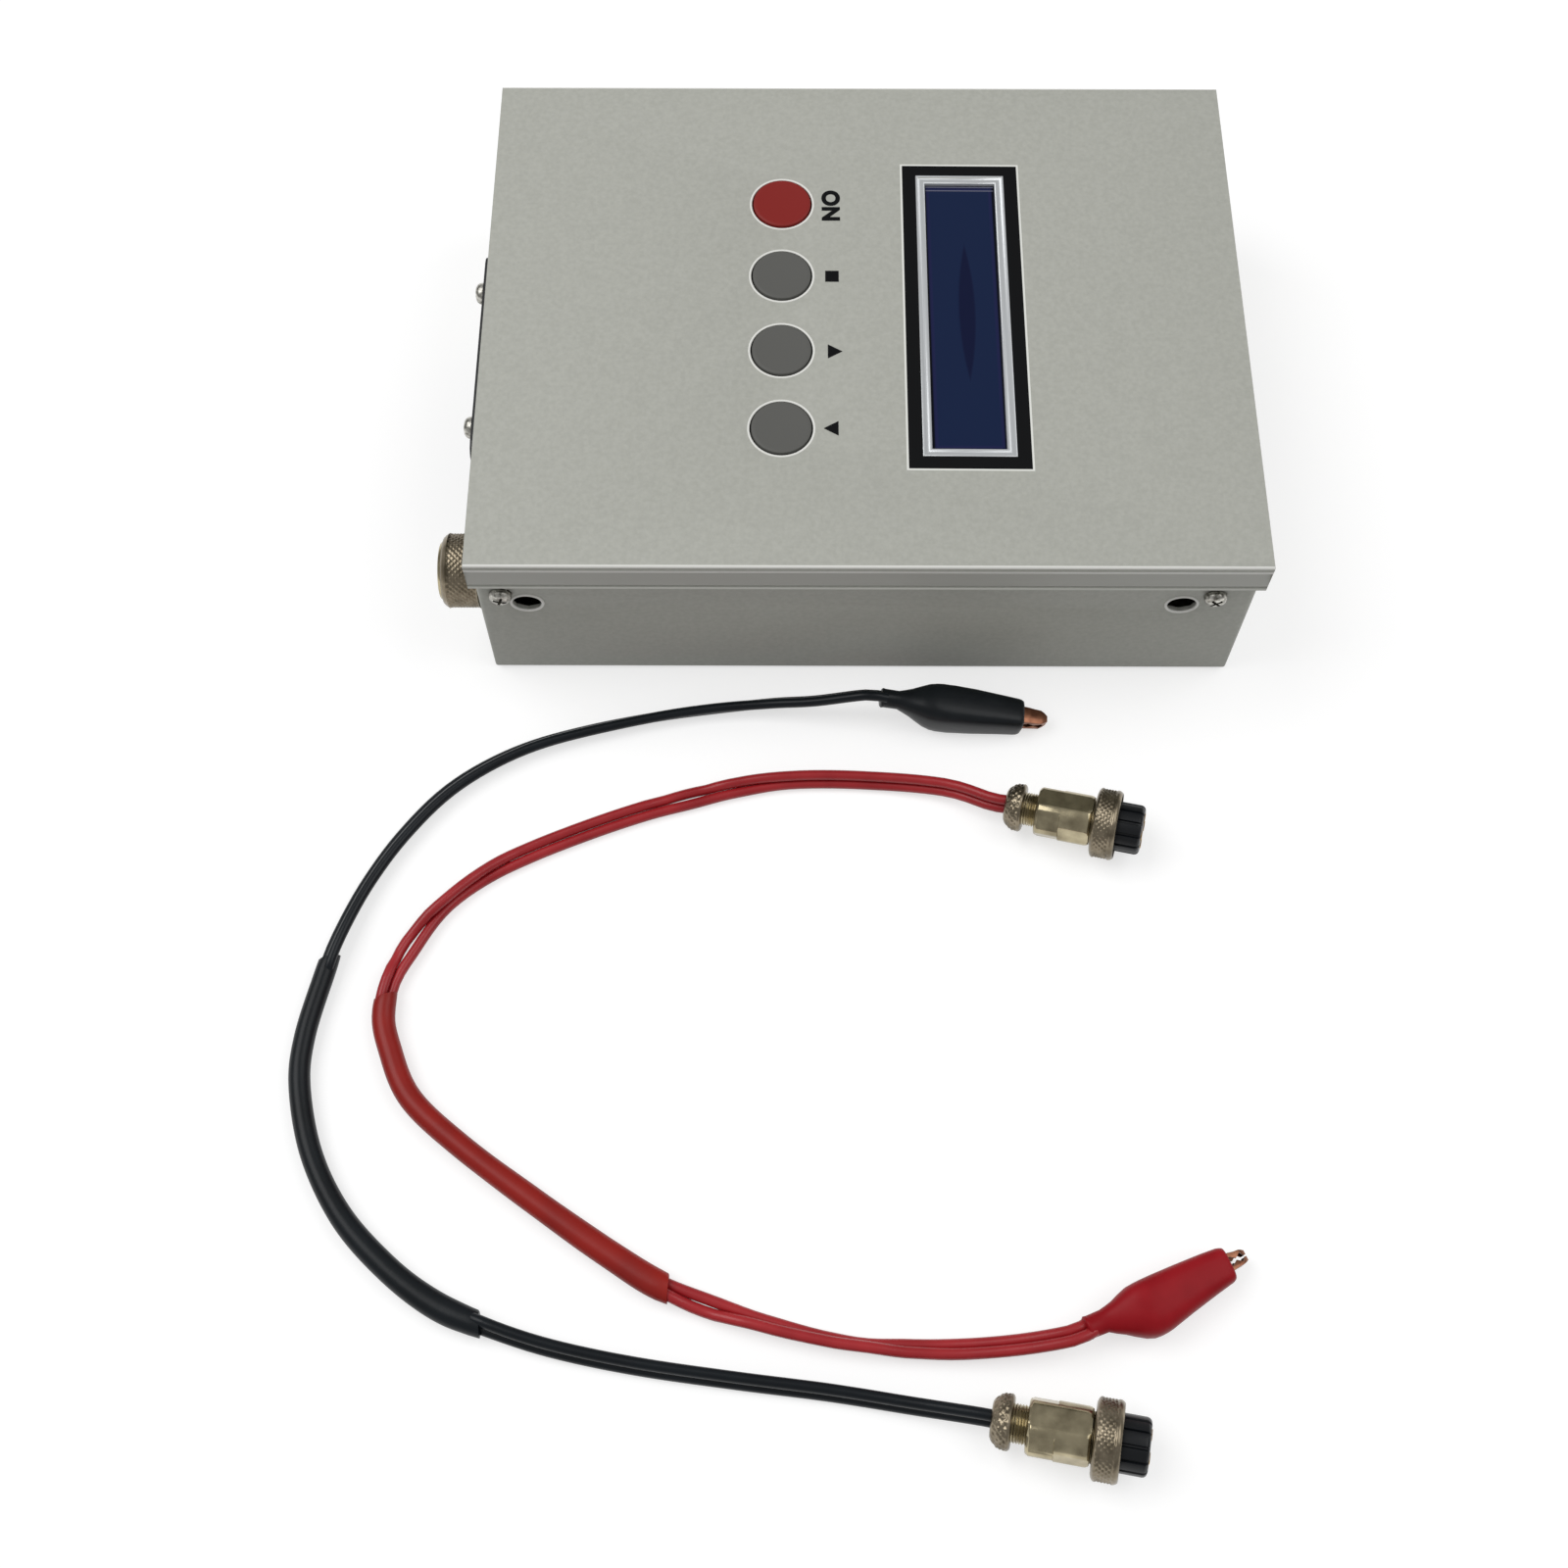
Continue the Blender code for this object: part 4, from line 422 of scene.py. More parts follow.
def frame_of_ink(x0, x1, y0, y1, width, low, high):
    """A rectangular ring, its outer size given, made of one face inset and raised."""
    bm = bmesh.new()
    bmesh.ops.create_grid(bm, x_segments=1, y_segments=1, size=0.5)
    centre = Matrix.Translation(((x0 + x1) / 2, (y0 + y1) / 2, low))
    bmesh.ops.transform(bm, matrix=centre @ Matrix.Diagonal((x1 - x0, y1 - y0, 1, 1)), verts=bm.verts)
    middle = list(bm.faces)
    bmesh.ops.inset_region(bm, faces=middle, thickness=width, use_even_offset=True, use_boundary=True)
    bmesh.ops.delete(bm, geom=middle, context="FACES_ONLY")
    up = bmesh.ops.extrude_face_region(bm, geom=list(bm.faces))["geom"]
    raised = [g for g in up if isinstance(g, bmesh.types.BMVert)]
    bmesh.ops.translate(bm, vec=(0, 0, high - low), verts=raised)
    bmesh.ops.recalc_face_normals(bm, faces=bm.faces)
    return bm


print_middle = CASE_MIDDLE.copy()
left, right = print_middle.x + 0.0082, print_middle.x + 0.0316
near, far = print_middle.y - 0.0363, print_middle.y + 0.0366
BORDER_WIDTH, OUTLINE_REACH, OUTLINE_WIDTH = 0.0027, 0.00042, 0.0004
# The photograph has the display and its border turned a little from the case.
PRINT_TURN = math.radians(-0.3)
display_at = Vector((print_middle.x + 0.0199, print_middle.y, 0))
skewed = (Matrix.Translation(display_at) @ Matrix.Rotation(PRINT_TURN, 4, "Z")
          @ Matrix.Translation(-display_at))
finished(frame_of_ink(left, right, near, far, BORDER_WIDTH, COVER_TOP, COVER_TOP + INK),
         "display_border", black_ink, "tester", place_at=skewed)
outline = frame_of_ink(left - OUTLINE_REACH, right + OUTLINE_REACH, near - OUTLINE_REACH,
                       far + OUTLINE_REACH, OUTLINE_WIDTH, COVER_TOP, COVER_TOP + INK * 0.8)
finished(outline, "display_outline", pale_ink, "tester", place_at=skewed)


def printed(name, bm, x, y):
    """Raise flat marks into ink and turn them so that they read from the right-hand side."""
    up = bmesh.ops.extrude_face_region(bm, geom=list(bm.faces))["geom"]
    raised = [g for g in up if isinstance(g, bmesh.types.BMVert)]
    bmesh.ops.translate(bm, vec=(0, 0, INK), verts=raised)
    bmesh.ops.recalc_face_normals(bm, faces=bm.faces)
    turned = Matrix.Translation((print_middle.x + x, print_middle.y + y, COVER_TOP)) @ Matrix.Rotation(
        -math.pi / 2, 4, "Z")
    finished(bm, name, black_ink, "tester", place_at=turned)


lettering = bpy.data.curves.new("on_mark", "FONT")
lettering.body = "ON"
lettering.size = 0.0047
lettering.align_x = "CENTER"
lettering.space_character = 1.1
lettering.offset = 0.00024
letters = bpy.data.objects.new("on_mark_text", lettering)
bpy.context.scene.collection.objects.link(letters)
bpy.context.view_layer.update()
settled = bpy.context.evaluated_depsgraph_get()
letter_mesh = bpy.data.meshes.new_from_object(letters.evaluated_get(settled))
bpy.data.objects.remove(letters)
bm = bmesh.new()
bm.from_mesh(letter_mesh)
bmesh.ops.remove_doubles(bm, verts=bm.verts, dist=1e-7)
ON_X, ON_Y = -0.0079, 0.0263
printed("on_mark", bm, ON_X, ON_Y)

# A square for setting and a triangle for each direction: (name, corners, turn in degrees, y).
MARK_X, MARK_RADIUS = -0.0062, 0.0019
for name, corners, lie, y in (("set_mark", 4, 45, 0.0086), ("up_mark", 3, 0, -0.0095),
                              ("down_mark", 3, 180, -0.0273)):
    bm = bmesh.new()
    bmesh.ops.create_circle(bm, cap_ends=True, segments=corners, radius=MARK_RADIUS)
    bmesh.ops.rotate(bm, cent=(0, 0, 0), matrix=Matrix.Rotation(math.radians(lie), 3, "Z"), verts=bm.verts)
    printed(name, bm, MARK_X, y)


# Buttons
# Four moulded ABS caps stand just above the cover, red for ON and grey for the rest. Each has a
# flat top with a fine matt skin and a softly rounded rim, and a stem down into its switch.
red_cap, red_cap_shader = new_finish("red_moulded_abs", "#84201C", 0.45, specular=0.25)
grain(red_cap, red_cap_shader, 0.5, 0.008)
grey_cap, grey_cap_shader = new_finish("grey_moulded_abs", "#5C5C59", 0.5, specular=0.25)
grain(grey_cap, grey_cap_shader, 0.5, 0.008)


def lathe(profile, steps, closed=False):
    """Spin a profile of (x, radius) in millimetres round the X axis into a closed body."""
    bm = bmesh.new()
    verts = [bm.verts.new((x / 1000, 0, radius / 1000)) for x, radius in profile]
    edges = [bm.edges.new(pair) for pair in zip(verts, verts[1:])]
    if closed:
        edges.append(bm.edges.new((verts[-1], verts[0])))
    bmesh.ops.spin(bm, geom=verts + edges, cent=(0, 0, 0), axis=(1, 0, 0), angle=2 * math.pi, steps=steps,
                   use_merge=True)
    bmesh.ops.remove_doubles(bm, verts=bm.verts, dist=1e-7)
    bmesh.ops.recalc_face_normals(bm, faces=bm.faces)
    return bm


def ease(bm, width_mm, segments=2, angle=25.0):
    """Round the sharp edges of a turned or cut body."""
    sharp = [e for e in bm.edges if e.is_manifold and e.calc_face_angle() > math.radians(angle)]
    bmesh.ops.bevel(bm, geom=sharp, offset=width_mm / 1000, offset_type="OFFSET", segments=segments,
                    profile=0.5, affect="EDGES", material=-1, clamp_overlap=True)
    return bm


for name in ("power_button", "set_button", "up_button", "down_button"):
    low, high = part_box(name)
    stem = (low.z - COVER_TOP) * 1000
    profile = [(stem, 0.0), (stem, 1.7), (-2.1, 1.7), (-2.1, 6.7), (-1.35, 6.7), (-1.35, 5.8), (0.2, 5.8),
               (0.36, 5.72), (0.46, 5.5), (0.5, 5.2), (0.48, 4.9), (0.44, 4.6), (0.43, 0.0)]
    look = red_cap if name == "power_button" else grey_cap
    slot_name = "red_button_plastic" if name == "power_button" else "grey_button_plastic"
    upright = Matrix.Translation(((low.x + high.x) / 2, (low.y + high.y) / 2, COVER_TOP)) @ Matrix.Rotation(
        -math.pi / 2, 4, "Y")
    finished(lathe(profile, 64), f"{name}_cap", look, name, [name], upright, 30)
    # A pale ring round each hole in the cover is a painted highlight on the hole's edge.
    edge = [(-0.2, 6.1), (0.0, 6.12), (0.06, 6.25), (0.06, 6.45), (-0.02, 6.56)]
    finished(lathe(edge, 64, closed=True), f"{name}_hole_edge_highlight", painted_highlight_coat, "tester",
             place_at=upright)

# The coat stands up in a bead round each hole in the tray's front, pale as a painted highlight on its rim.
for end, (_, (across, up)) in zip(("left", "right"), TRAY_HOLES):
    bead = [(0.05, 2.75), (-0.15, 2.8), (-0.28, 3.0), (-0.2, 3.25), (0.05, 3.35)]
    outward = Matrix.Translation((across, tray_low.y, up)) @ Matrix.Rotation(math.pi / 2, 4, "Z")
    finished(lathe(bead, 48, closed=True), f"{end}_hole_bead", painted_highlight_coat, "tester",
             place_at=outward)


# Display
# A character module: a bezel stamped from tinned steel with a groove between its two lips, round
# a glass cell with a blue polariser. The film stops short of the glass, so its edge shows.
bezel, bezel_shader = new_finish("stamped_tinned_steel", "#C6C9CB", 0.34, 0.45)
grain(bezel, bezel_shader, 0.8, 0.006)
frame_low, frame_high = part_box("lcd_frame")
half_x, half_y = (frame_high.x - frame_low.x) / 2, (frame_high.y - frame_low.y) / 2
glass_x, glass_y = (frame_low.x + frame_high.x) / 2 - 0.0001, (frame_low.y + frame_high.y) / 2 + 0.0003
RIM_X, RIM_Y = 9.0, 33.85
# The bezel's profile as (inset from its rim, drop below the cover's top) in millimetres.
BEZEL = ((0.0, 0.3), (0.0, 0.0), (0.08, -0.07), (0.3, -0.07), (0.5, 0.04), (0.7, 0.24), (1.0, 0.28),
         (1.2, 0.18), (1.4, 0.08), (1.6, 0.08), (1.8, 0.2), (1.87, 0.4), (1.87, 1.0), (1.92, 1.3))


def stacked(sections, closed):
    """A body of rectangles round the display's axis: (half width, half length, drop) in mm."""
    bm = bmesh.new()
    rings = []
    for reach_x, reach_y, drop in sections:
        height = COVER_TOP - drop / 1000
        rings.append([bm.verts.new((glass_x + sx * reach_x / 1000, glass_y + sy * reach_y / 1000, height))
                      for sx, sy in ((-1, -1), (1, -1), (1, 1), (-1, 1))])
    for lower, upper in zip(rings, rings[1:] + rings[:1] if closed else rings[1:]):
        for i in range(4):
            bm.faces.new((lower[i], lower[(i + 1) % 4], upper[(i + 1) % 4], upper[i]))
    if not closed:
        bm.faces.new(rings[0])
        bm.faces.new(rings[-1])
    bmesh.ops.recalc_face_normals(bm, faces=bm.faces)
    return bm


body_x, body_y = half_x * 1000, half_y * 1000
sections = [(body_x - 1.75, body_y - 1.75, 7.0), (body_x, body_y, 7.0), (body_x, body_y, 1.4),
            (RIM_X, RIM_Y, 1.4)]
sections += [(RIM_X - inset, RIM_Y - inset, drop) for inset, drop in BEZEL]
finished(stacked(sections, True), "stamped_bezel", bezel, "tester", ["lcd_frame"],
         skewed, 50)

# The cell is darkest at its edges, with a patch of painted shade in its middle that tapers to both
# ends, the cell's darkening as seen from this side: the patch lies within ARC_REACH of two points
# that are ARC_OFFSET to either side.
CELL_DROP = 1.0
EDGE_X, EDGE_Y = 0.0071, 0.03185
PATCH_MIDDLE, ARC_OFFSET, ARC_REACH, ARC_FADE = 0.0006, 0.0817, 0.0831, 0.0004
glass, glass_shader = new_finish("blue_display_cell", "#161F44", 0.12, specular=0.15)
cell_where = add_node(glass, "ShaderNodeTexCoord", {}, {})
cell_place = add_node(glass, "ShaderNodeVectorMath", {"operation": "SUBTRACT"},
                      {0: cell_where.outputs["Object"],
                       1: (glass_x, glass_y, COVER_TOP - CELL_DROP / 1000)})
cell_reach = add_node(glass, "ShaderNodeVectorMath", {"operation": "ABSOLUTE"}, {0: cell_place.outputs[0]})
cell_split = add_node(glass, "ShaderNodeSeparateXYZ", {}, {0: cell_reach.outputs[0]})
from_side = add_node(glass, "ShaderNodeMath", {"operation": "SUBTRACT"},
                     {0: EDGE_X, 1: cell_split.outputs["X"]})
from_end = add_node(glass, "ShaderNodeMath", {"operation": "SUBTRACT"},
                    {0: EDGE_Y, 1: cell_split.outputs["Y"]})
from_edge = add_node(glass, "ShaderNodeMath", {"operation": "MINIMUM"},
                     {0: from_side.outputs[0], 1: from_end.outputs[0]})
edge_share = add_node(glass, "ShaderNodeMath", {"operation": "MULTIPLY"}, {0: from_edge.outputs[0], 1: 500.0})
edge_ramp = add_node(glass, "ShaderNodeValToRGB", {}, {"Fac": edge_share.outputs[0]})
edge_ramp.color_ramp.elements[0].position = 0.16
edge_ramp.color_ramp.elements[0].color = linear("#050918")
edge_ramp.color_ramp.elements[1].position = 0.6
edge_ramp.color_ramp.elements[1].color = linear("#142242")
for position, code in ((0.24, "#1B2046"), (0.42, "#1D2148")):
    step = edge_ramp.color_ramp.elements.new(position)
    step.color = linear(code)
painted_shade_sides = []
for side in (-1, 1):
    painted_shade_sides.append(add_node(glass, "ShaderNodeVectorMath", {"operation": "DISTANCE"},
                               {0: cell_place.outputs[0],
                                1: (PATCH_MIDDLE + ARC_OFFSET * side, PATCH_MIDDLE, 0.0)}))
lens = add_node(glass, "ShaderNodeMath", {"operation": "MAXIMUM"},
                {0: painted_shade_sides[0].outputs["Value"], 1: painted_shade_sides[1].outputs["Value"]})
painted_shade_share = add_node(glass, "ShaderNodeMapRange", {},
                      {"Value": lens.outputs[0], "From Min": ARC_REACH, "From Max": ARC_REACH + ARC_FADE,
                       "To Min": 1.0, "To Max": 0.0})
# The painted shade patch is mixed over the cell's colour here.
painted_shade_mix = add_node(glass, "ShaderNodeMix", {"data_type": "RGBA"}, {0: painted_shade_share.outputs[0]})
glass.node_tree.links.new(edge_ramp.outputs["Color"], painted_shade_mix.inputs[6])
painted_shade_mix.inputs[7].default_value = linear("#0D1434")
glass.node_tree.links.new(painted_shade_mix.outputs[2], glass_shader.inputs["Base Color"])
cell = [(body_x - 1.2, body_y - 1.2, 7.2), (body_x - 1.2, body_y - 1.2, 3.0), (7.3, 32.0, 3.0),
        (7.3, 32.0, CELL_DROP)]
finished(stacked(cell, False), "display_cell", glass, "tester", ["lcd_glass"], skewed)

# Two edges of the cell's sealing glue show as pale lines at its far end.
SEEN_FAR = 0.03198
SEAL_SIZE = (0.0138, 0.00026, 0.00006)
seal, seal_shader = new_finish("pale_sealing_glue", "#5E6075", 0.4)
grain(seal, seal_shader, 0.6, 0.01)
for i, from_far in enumerate((0.35, 1.25)):
    bm = bmesh.new()
    strip = bmesh.ops.create_cube(bm, size=1.0)["verts"]
    spot = Matrix.Translation((glass_x, glass_y + SEEN_FAR - from_far / 1000, COVER_TOP - 0.00098))
    bmesh.ops.transform(bm, matrix=spot @ Matrix.Diagonal((*SEAL_SIZE, 1)), verts=strip)
    finished(bm, f"seal_edge_{i + 1}", seal, "tester", place_at=skewed)


# Screws
# Zinc-plated pan head screws, pressed heads with a cross recess, the same for case and fan.
zinc, zinc_shader = new_finish("zinc_plated_steel", "#A9A79E", 0.3, 1.0)
grain(zinc, zinc_shader, 0.7, 0.004)
mottle(zinc, zinc_shader, "#605E57", "#D6D4CC", 0.9)
SCREW_NODES = [f"case_screw_{face}_{end}" for face in ("front", "rear") for end in ("left", "right")]
FAN_SCREWS = [f"fan_screw_{spot}" for spot in ("upper_rear", "upper_front", "lower_rear", "lower_front")]
# The photograph has the case's screws a little lower than the solids, and the left ones further left.
CASE_SCREW_LOWER, LEFT_SCREW_FURTHER = 0.0003, 0.0005
FIRST_TURN, NEXT_TURN = 17, 31
screw_turn = FIRST_TURN
for name in SCREW_NODES + FAN_SCREWS:
    low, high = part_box(name)
    middle = (low + high) / 2
    if name in SCREW_NODES:
        middle.z -= CASE_SCREW_LOWER
    if name.endswith("left"):
        middle.x -= LEFT_SCREW_FURTHER
    if name in FAN_SCREWS:
        tip, direction = Vector((low.x, middle.y, middle.z)), Vector((1, 0, 0))
    elif "front" in name:
        tip, direction = Vector((middle.x, low.y, middle.z)), Vector((0, 1, 0))
    else:
        tip, direction = Vector((middle.x, high.y, middle.z)), Vector((0, -1, 0))
    reach = max((high - low)) * 1000
    profile = [(0.0, 0.0), (0.0, 0.9), (0.12, 1.35), (0.4, 1.8), (0.8, 2.08), (1.3, 2.2), (1.6, 2.2),
               (1.6, 1.45)]
    ridge = 2.1
    while ridge < reach - 0.4:
        profile += [(ridge, 1.45), (ridge + 0.25, 1.2)]
        ridge += 0.5
    profile += [(reach, 1.1), (reach, 0.0)]
    bm = lathe(profile, 32)
    head = bpy.data.meshes.new("head")
    bm.to_mesh(head)
    bm.free()
    body_piece = bpy.data.objects.new("head", head)
    bpy.context.scene.collection.objects.link(body_piece)
    bm = bmesh.new()
    for quarter in (0, 90):
        arm = bmesh.ops.create_cube(bm, size=1.0)["verts"]
        turned = Matrix.Rotation(math.radians(quarter + screw_turn), 4, "X")
        bmesh.ops.transform(bm, matrix=turned @ Matrix.Diagonal((0.0022, 0.0026, 0.00055, 1)), verts=arm)
    recess = bpy.data.meshes.new("recess")
    bm.to_mesh(recess)
    bm.free()
    cutter = bpy.data.objects.new("recess", recess)
    bpy.context.scene.collection.objects.link(cutter)
    carve = body_piece.modifiers.new("recess", "BOOLEAN")
    carve.operation = "DIFFERENCE"
    carve.object = cutter
    carve.solver = "EXACT"
    carve.use_self = True
    bpy.context.view_layer.update()
    bm = bmesh.new()
    settled = bpy.context.evaluated_depsgraph_get()
    bm.from_mesh(bpy.data.meshes.new_from_object(body_piece.evaluated_get(settled)))
    for scrap in (body_piece, cutter):
        bpy.data.objects.remove(scrap)
    to_screw = Matrix.Translation(tip) @ Vector((1, 0, 0)).rotation_difference(direction).to_matrix().to_4x4()
    finished(bm, f"{name}_cross_head", zinc, "tester", [name], to_screw, 32)
    screw_turn += NEXT_TURN


# Round connectors
# Turned brass, nickel plated and gone warm with handling: the sockets' shells, the knurled ring
# nuts and the plugs' shells, clamps and coupling nuts. The knurl is rolled, about 1 mm across.
nickel, nickel_shader = new_finish("nickel_plated_brass", "#A2977C", 0.2, 1.0)
grain(nickel, nickel_shader, 0.8, 0.006)
mottle(nickel, nickel_shader, "#8A8068", "#BCB193", 3.5, 3.0)
knurl_nickel, knurl_shader = new_finish("knurled_nickel_brass", "#857B6A", 0.28, 1.0)
grain(knurl_nickel, knurl_shader, 0.5, 0.006)
mottle(knurl_nickel, knurl_shader, "#6C6353", "#958A77", 2.5, 3.0)
insert_black, insert_shader = new_finish("black_moulded_pbt", "#0B0E12", 0.35, specular=0.3)
grain(insert_black, insert_shader, 0.6, 0.008)
gilt, gilt_shader = new_finish("gilt_contact_brass", "#B8924E", 0.28, 1.0)
grain(gilt, gilt_shader, 0.5, 0.004)


def band(start, end, radius, rows):
    """Profile points spaced evenly along a cylinder, for a knurl to work on."""
    return [(start + (end - start) * i / rows, radius) for i in range(rows + 1)]


def knurl(bm, start, end, least_radius, teeth, pitch, depth):
    """Press diamond knurling into the outer band of a turned body; all in millimetres."""
    for vert in bm.verts:
        x = vert.co.x * 1000
        radius = math.hypot(vert.co.y, vert.co.z) * 1000
        if not start - 1e-6 <= x <= end + 1e-6 or radius < least_radius:
            continue
        around = math.atan2(vert.co.z, vert.co.y) / (2 * math.pi) * teeth
        groove = min(abs((around + x / pitch) % 1 - 0.5), abs((around - x / pitch) % 1 - 0.5)) * 2
        edge = min(1.0, (x - start) / 0.3, (end - x) / 0.3)
        scale = (radius - depth * (1 - groove) * max(0.0, edge)) / radius
        vert.co.y *= scale
        vert.co.z *= scale
    return bm


# The sockets as (name, place on the wall, turn), and the contacts' distance from the axis.
SOCKETS = (("side", Vector((-0.0704, -0.05035, 0.02325)), math.pi),
           ("rear", Vector((-0.0412, 0.0529, 0.02325)), math.pi / 2))
CONTACT_CIRCLE = 0.0026
for prefix, wall, turn in SOCKETS:
    seat = Matrix.Translation(wall) @ Matrix.Rotation(turn, 4, "Z")
    shell = [(-9.0, 5.9), (-2.8, 5.9), (-2.8, 7.4), (-1.3, 7.4), (-1.3, 5.9), (7.7, 5.9), (8.4, 5.55),
             (8.4, 5.2), (1.2, 5.2), (1.2, 4.5), (-9.0, 4.5)]
    finished(ease(lathe(shell, 64, closed=True), 0.08), f"{prefix}_turned_shell", nickel, "tester",
             [f"{prefix}_socket_shell"], seat)
    ring = [(0.3, 6.2), (0.3, 6.9), (0.5, 7.25)] + band(0.7, 6.7, 7.38, 34) + [
        (7.0, 7.2), (7.35, 6.95), (7.7, 6.6), (7.7, 6.2)]
    finished(knurl(lathe(ring, 160, closed=True), 0.7, 6.7, 6.7, 38, 1.15, 0.36), f"{prefix}_knurled_ring",
             knurl_nickel, "tester", [f"{prefix}_socket_nut"], seat, 60)
    holder = [(-9.0, 0.0), (-9.0, 4.2), (1.2, 4.2), (1.2, 0.0)]
    finished(ease(lathe(holder, 48), 0.15), f"{prefix}_pin_holder", insert_black, "tester",
             [f"{prefix}_socket_insert"], seat)
    for i in range(4):
        angle = math.radians(45 + 90 * i)
        pin = [(1.0, 0.0), (1.0, 0.6), (4.3, 0.6), (4.55, 0.5), (4.7, 0.25), (4.7, 0.0)]
        spot = Matrix.Translation((0, CONTACT_CIRCLE * math.cos(angle), CONTACT_CIRCLE * math.sin(angle)))
        finished(lathe(pin, 20), f"{prefix}_contact_pin_{i + 1}", gilt, "tester",
                 place_at=seat @ spot)

# The plugs as (colour, place of the clamp's end, heading in degrees). Both tilt to rest on their nuts.
PLUGS = (("red", Vector((0.0315, -0.09185, 0.004623)), -14.4),
         ("black", Vector((0.0237, -0.20395, 0.004623)), -10.6))
PLUG_TILT = 6.792


def flatten(bm, start, end, reaches):
    """Mill flats on a turned band: each is (angle in degrees, distance from the axis)."""
    for vert in bm.verts:
        if not start <= vert.co.x * 1000 <= end:
            continue
        for degrees, distance in reaches:
            normal = Vector((0, math.cos(math.radians(degrees)), math.sin(math.radians(degrees))))
            over = vert.co.dot(normal) - distance / 1000
            if over > 0:
                vert.co -= normal * over
    return bm


for colour, spot, heading in PLUGS:
    seat = (Matrix.Translation(spot) @ Matrix.Rotation(math.radians(heading), 4, "Z")
            @ Matrix.Rotation(math.radians(-PLUG_TILT), 4, "Y"))
    clamp = [(0.0, 1.2), (0.0, 2.9), (0.2, 3.3)]
    clamp += [(0.4 + 1.8 * i / 9, 3.55 + 1.13 * (1 - (1 - i / 9) ** 2)) for i in range(10)]
    clamp += band(2.35, 2.95, 4.7, 4) + [(3.2, 4.62), (3.42, 4.45), (3.6, 4.15), (3.6, 1.2)]
    finished(knurl(lathe(clamp, 120, closed=True), 0.4, 3.0, 3.4, 22, 1.3, 0.34), f"{colour}_knurled_clamp",
             knurl_nickel, "tester", [f"{colour}_plug_clamp"], seat, 60)
    neck = []
    x = 3.62
    while x < 5.8:
        neck += [(x, 3.3), (x + 0.26, 3.0)]
        x += 0.48
    shell = [(3.62, 0.0)] + neck + [
        (6.1, 3.3), (6.1, 4.25), (6.3, 4.55), (6.7, 4.87), (6.9, 4.9), (10.85, 4.9), (10.95, 4.9),
        (13.0, 4.9), (16.0, 4.9), (16.5, 4.82), (16.9, 4.6), (16.9, 4.2), (18.7, 4.2), (18.7, 0.0)]
    bm = lathe(shell, 96)
    flatten(bm, 6.2, 10.9, [(60 * i + 15, 4.52) for i in range(6)])
    flatten(bm, 10.92, 16.6, [(75, 4.5), (255, 4.5), (165, 4.6), (345, 4.6)])
    finished(ease(bm, 0.1, 2, 30.0), f"{colour}_turned_shell", nickel, "tester",
             [f"{colour}_plug_shell"], seat, 30)
    nut = [(17.2, 4.6), (17.2, 5.7), (17.35, 6.2), (17.6, 6.6)] + band(17.9, 21.0, 6.8, 18) + [
        (21.3, 6.75), (21.6, 6.6), (21.9, 6.35), (21.9, 6.2), (18.4, 6.2), (18.4, 4.6)]
    finished(knurl(lathe(nut, 160, closed=True), 17.9, 21.0, 6.4, 38, 1.1, 0.3), f"{colour}_knurled_nut",
             knurl_nickel, f"{colour}_plug_nut", [f"{colour}_plug_nut"], seat, 60)
    insert = [(19.0, 0.0), (19.0, 4.8), (22.0, 4.8), (25.7, 4.8), (26.1, 4.7), (26.4, 4.45), (26.55, 4.1),
              (26.6, 3.8), (26.6, 0.0)]
    bm = lathe(insert, 180)
    for vert in bm.verts:
        radius = math.hypot(vert.co.y, vert.co.z)
        turn = math.degrees(math.atan2(vert.co.z, vert.co.y)) % 360
        groove = min(abs((turn - centre + 180) % 360 - 180) for centre in range(10, 370, 30))
        if radius > 0.0036 and groove < 2.2:
            vert.co.y *= 0.92
            vert.co.z *= 0.92
    finished(bm, f"{colour}_ribbed_insert", insert_black, "tester",
             [f"{colour}_plug_insert"], seat, 25)
    for i in range(4):
        angle = math.radians(45 + 90 * i)
        mouth = [(26.55, 0.45), (26.55, 0.95), (26.72, 0.95), (26.72, 0.45)]
        hole = Matrix.Translation((0, CONTACT_CIRCLE * math.cos(angle), CONTACT_CIRCLE * math.sin(angle)))
        finished(lathe(mouth, 20, closed=True), f"{colour}_contact_{i + 1}", gilt, "tester",
                 place_at=seat @ hole)


# Clips
# A soft PVC boot, dip moulded, over two jaws folded from copper-plated steel. The boot has a
# narrow neck over the wires, a swell over the handles and a thin square mouth.
red_boot, red_boot_shader = new_finish("red_moulded_pvc", "#94121B", 0.42, specular=0.15)
grain(red_boot, red_boot_shader, 1.2, 0.02)
mottle(red_boot, red_boot_shader, "#8C0F18", "#9B161F", 6.0)
black_boot, black_boot_shader = new_finish("black_moulded_pvc", "#0D1216", 0.34, specular=0.25)
grain(black_boot, black_boot_shader, 1.2, 0.02)
mottle(black_boot, black_boot_shader, "#0A0F13", "#12171B", 6.0)
copper, copper_shader = new_finish("copper_plated_steel", "#7E5340", 0.32, 1.0)
grain(copper, copper_shader, 0.8, 0.006)
mottle(copper, copper_shader, "#6E4636", "#9A6A52", 2.0)

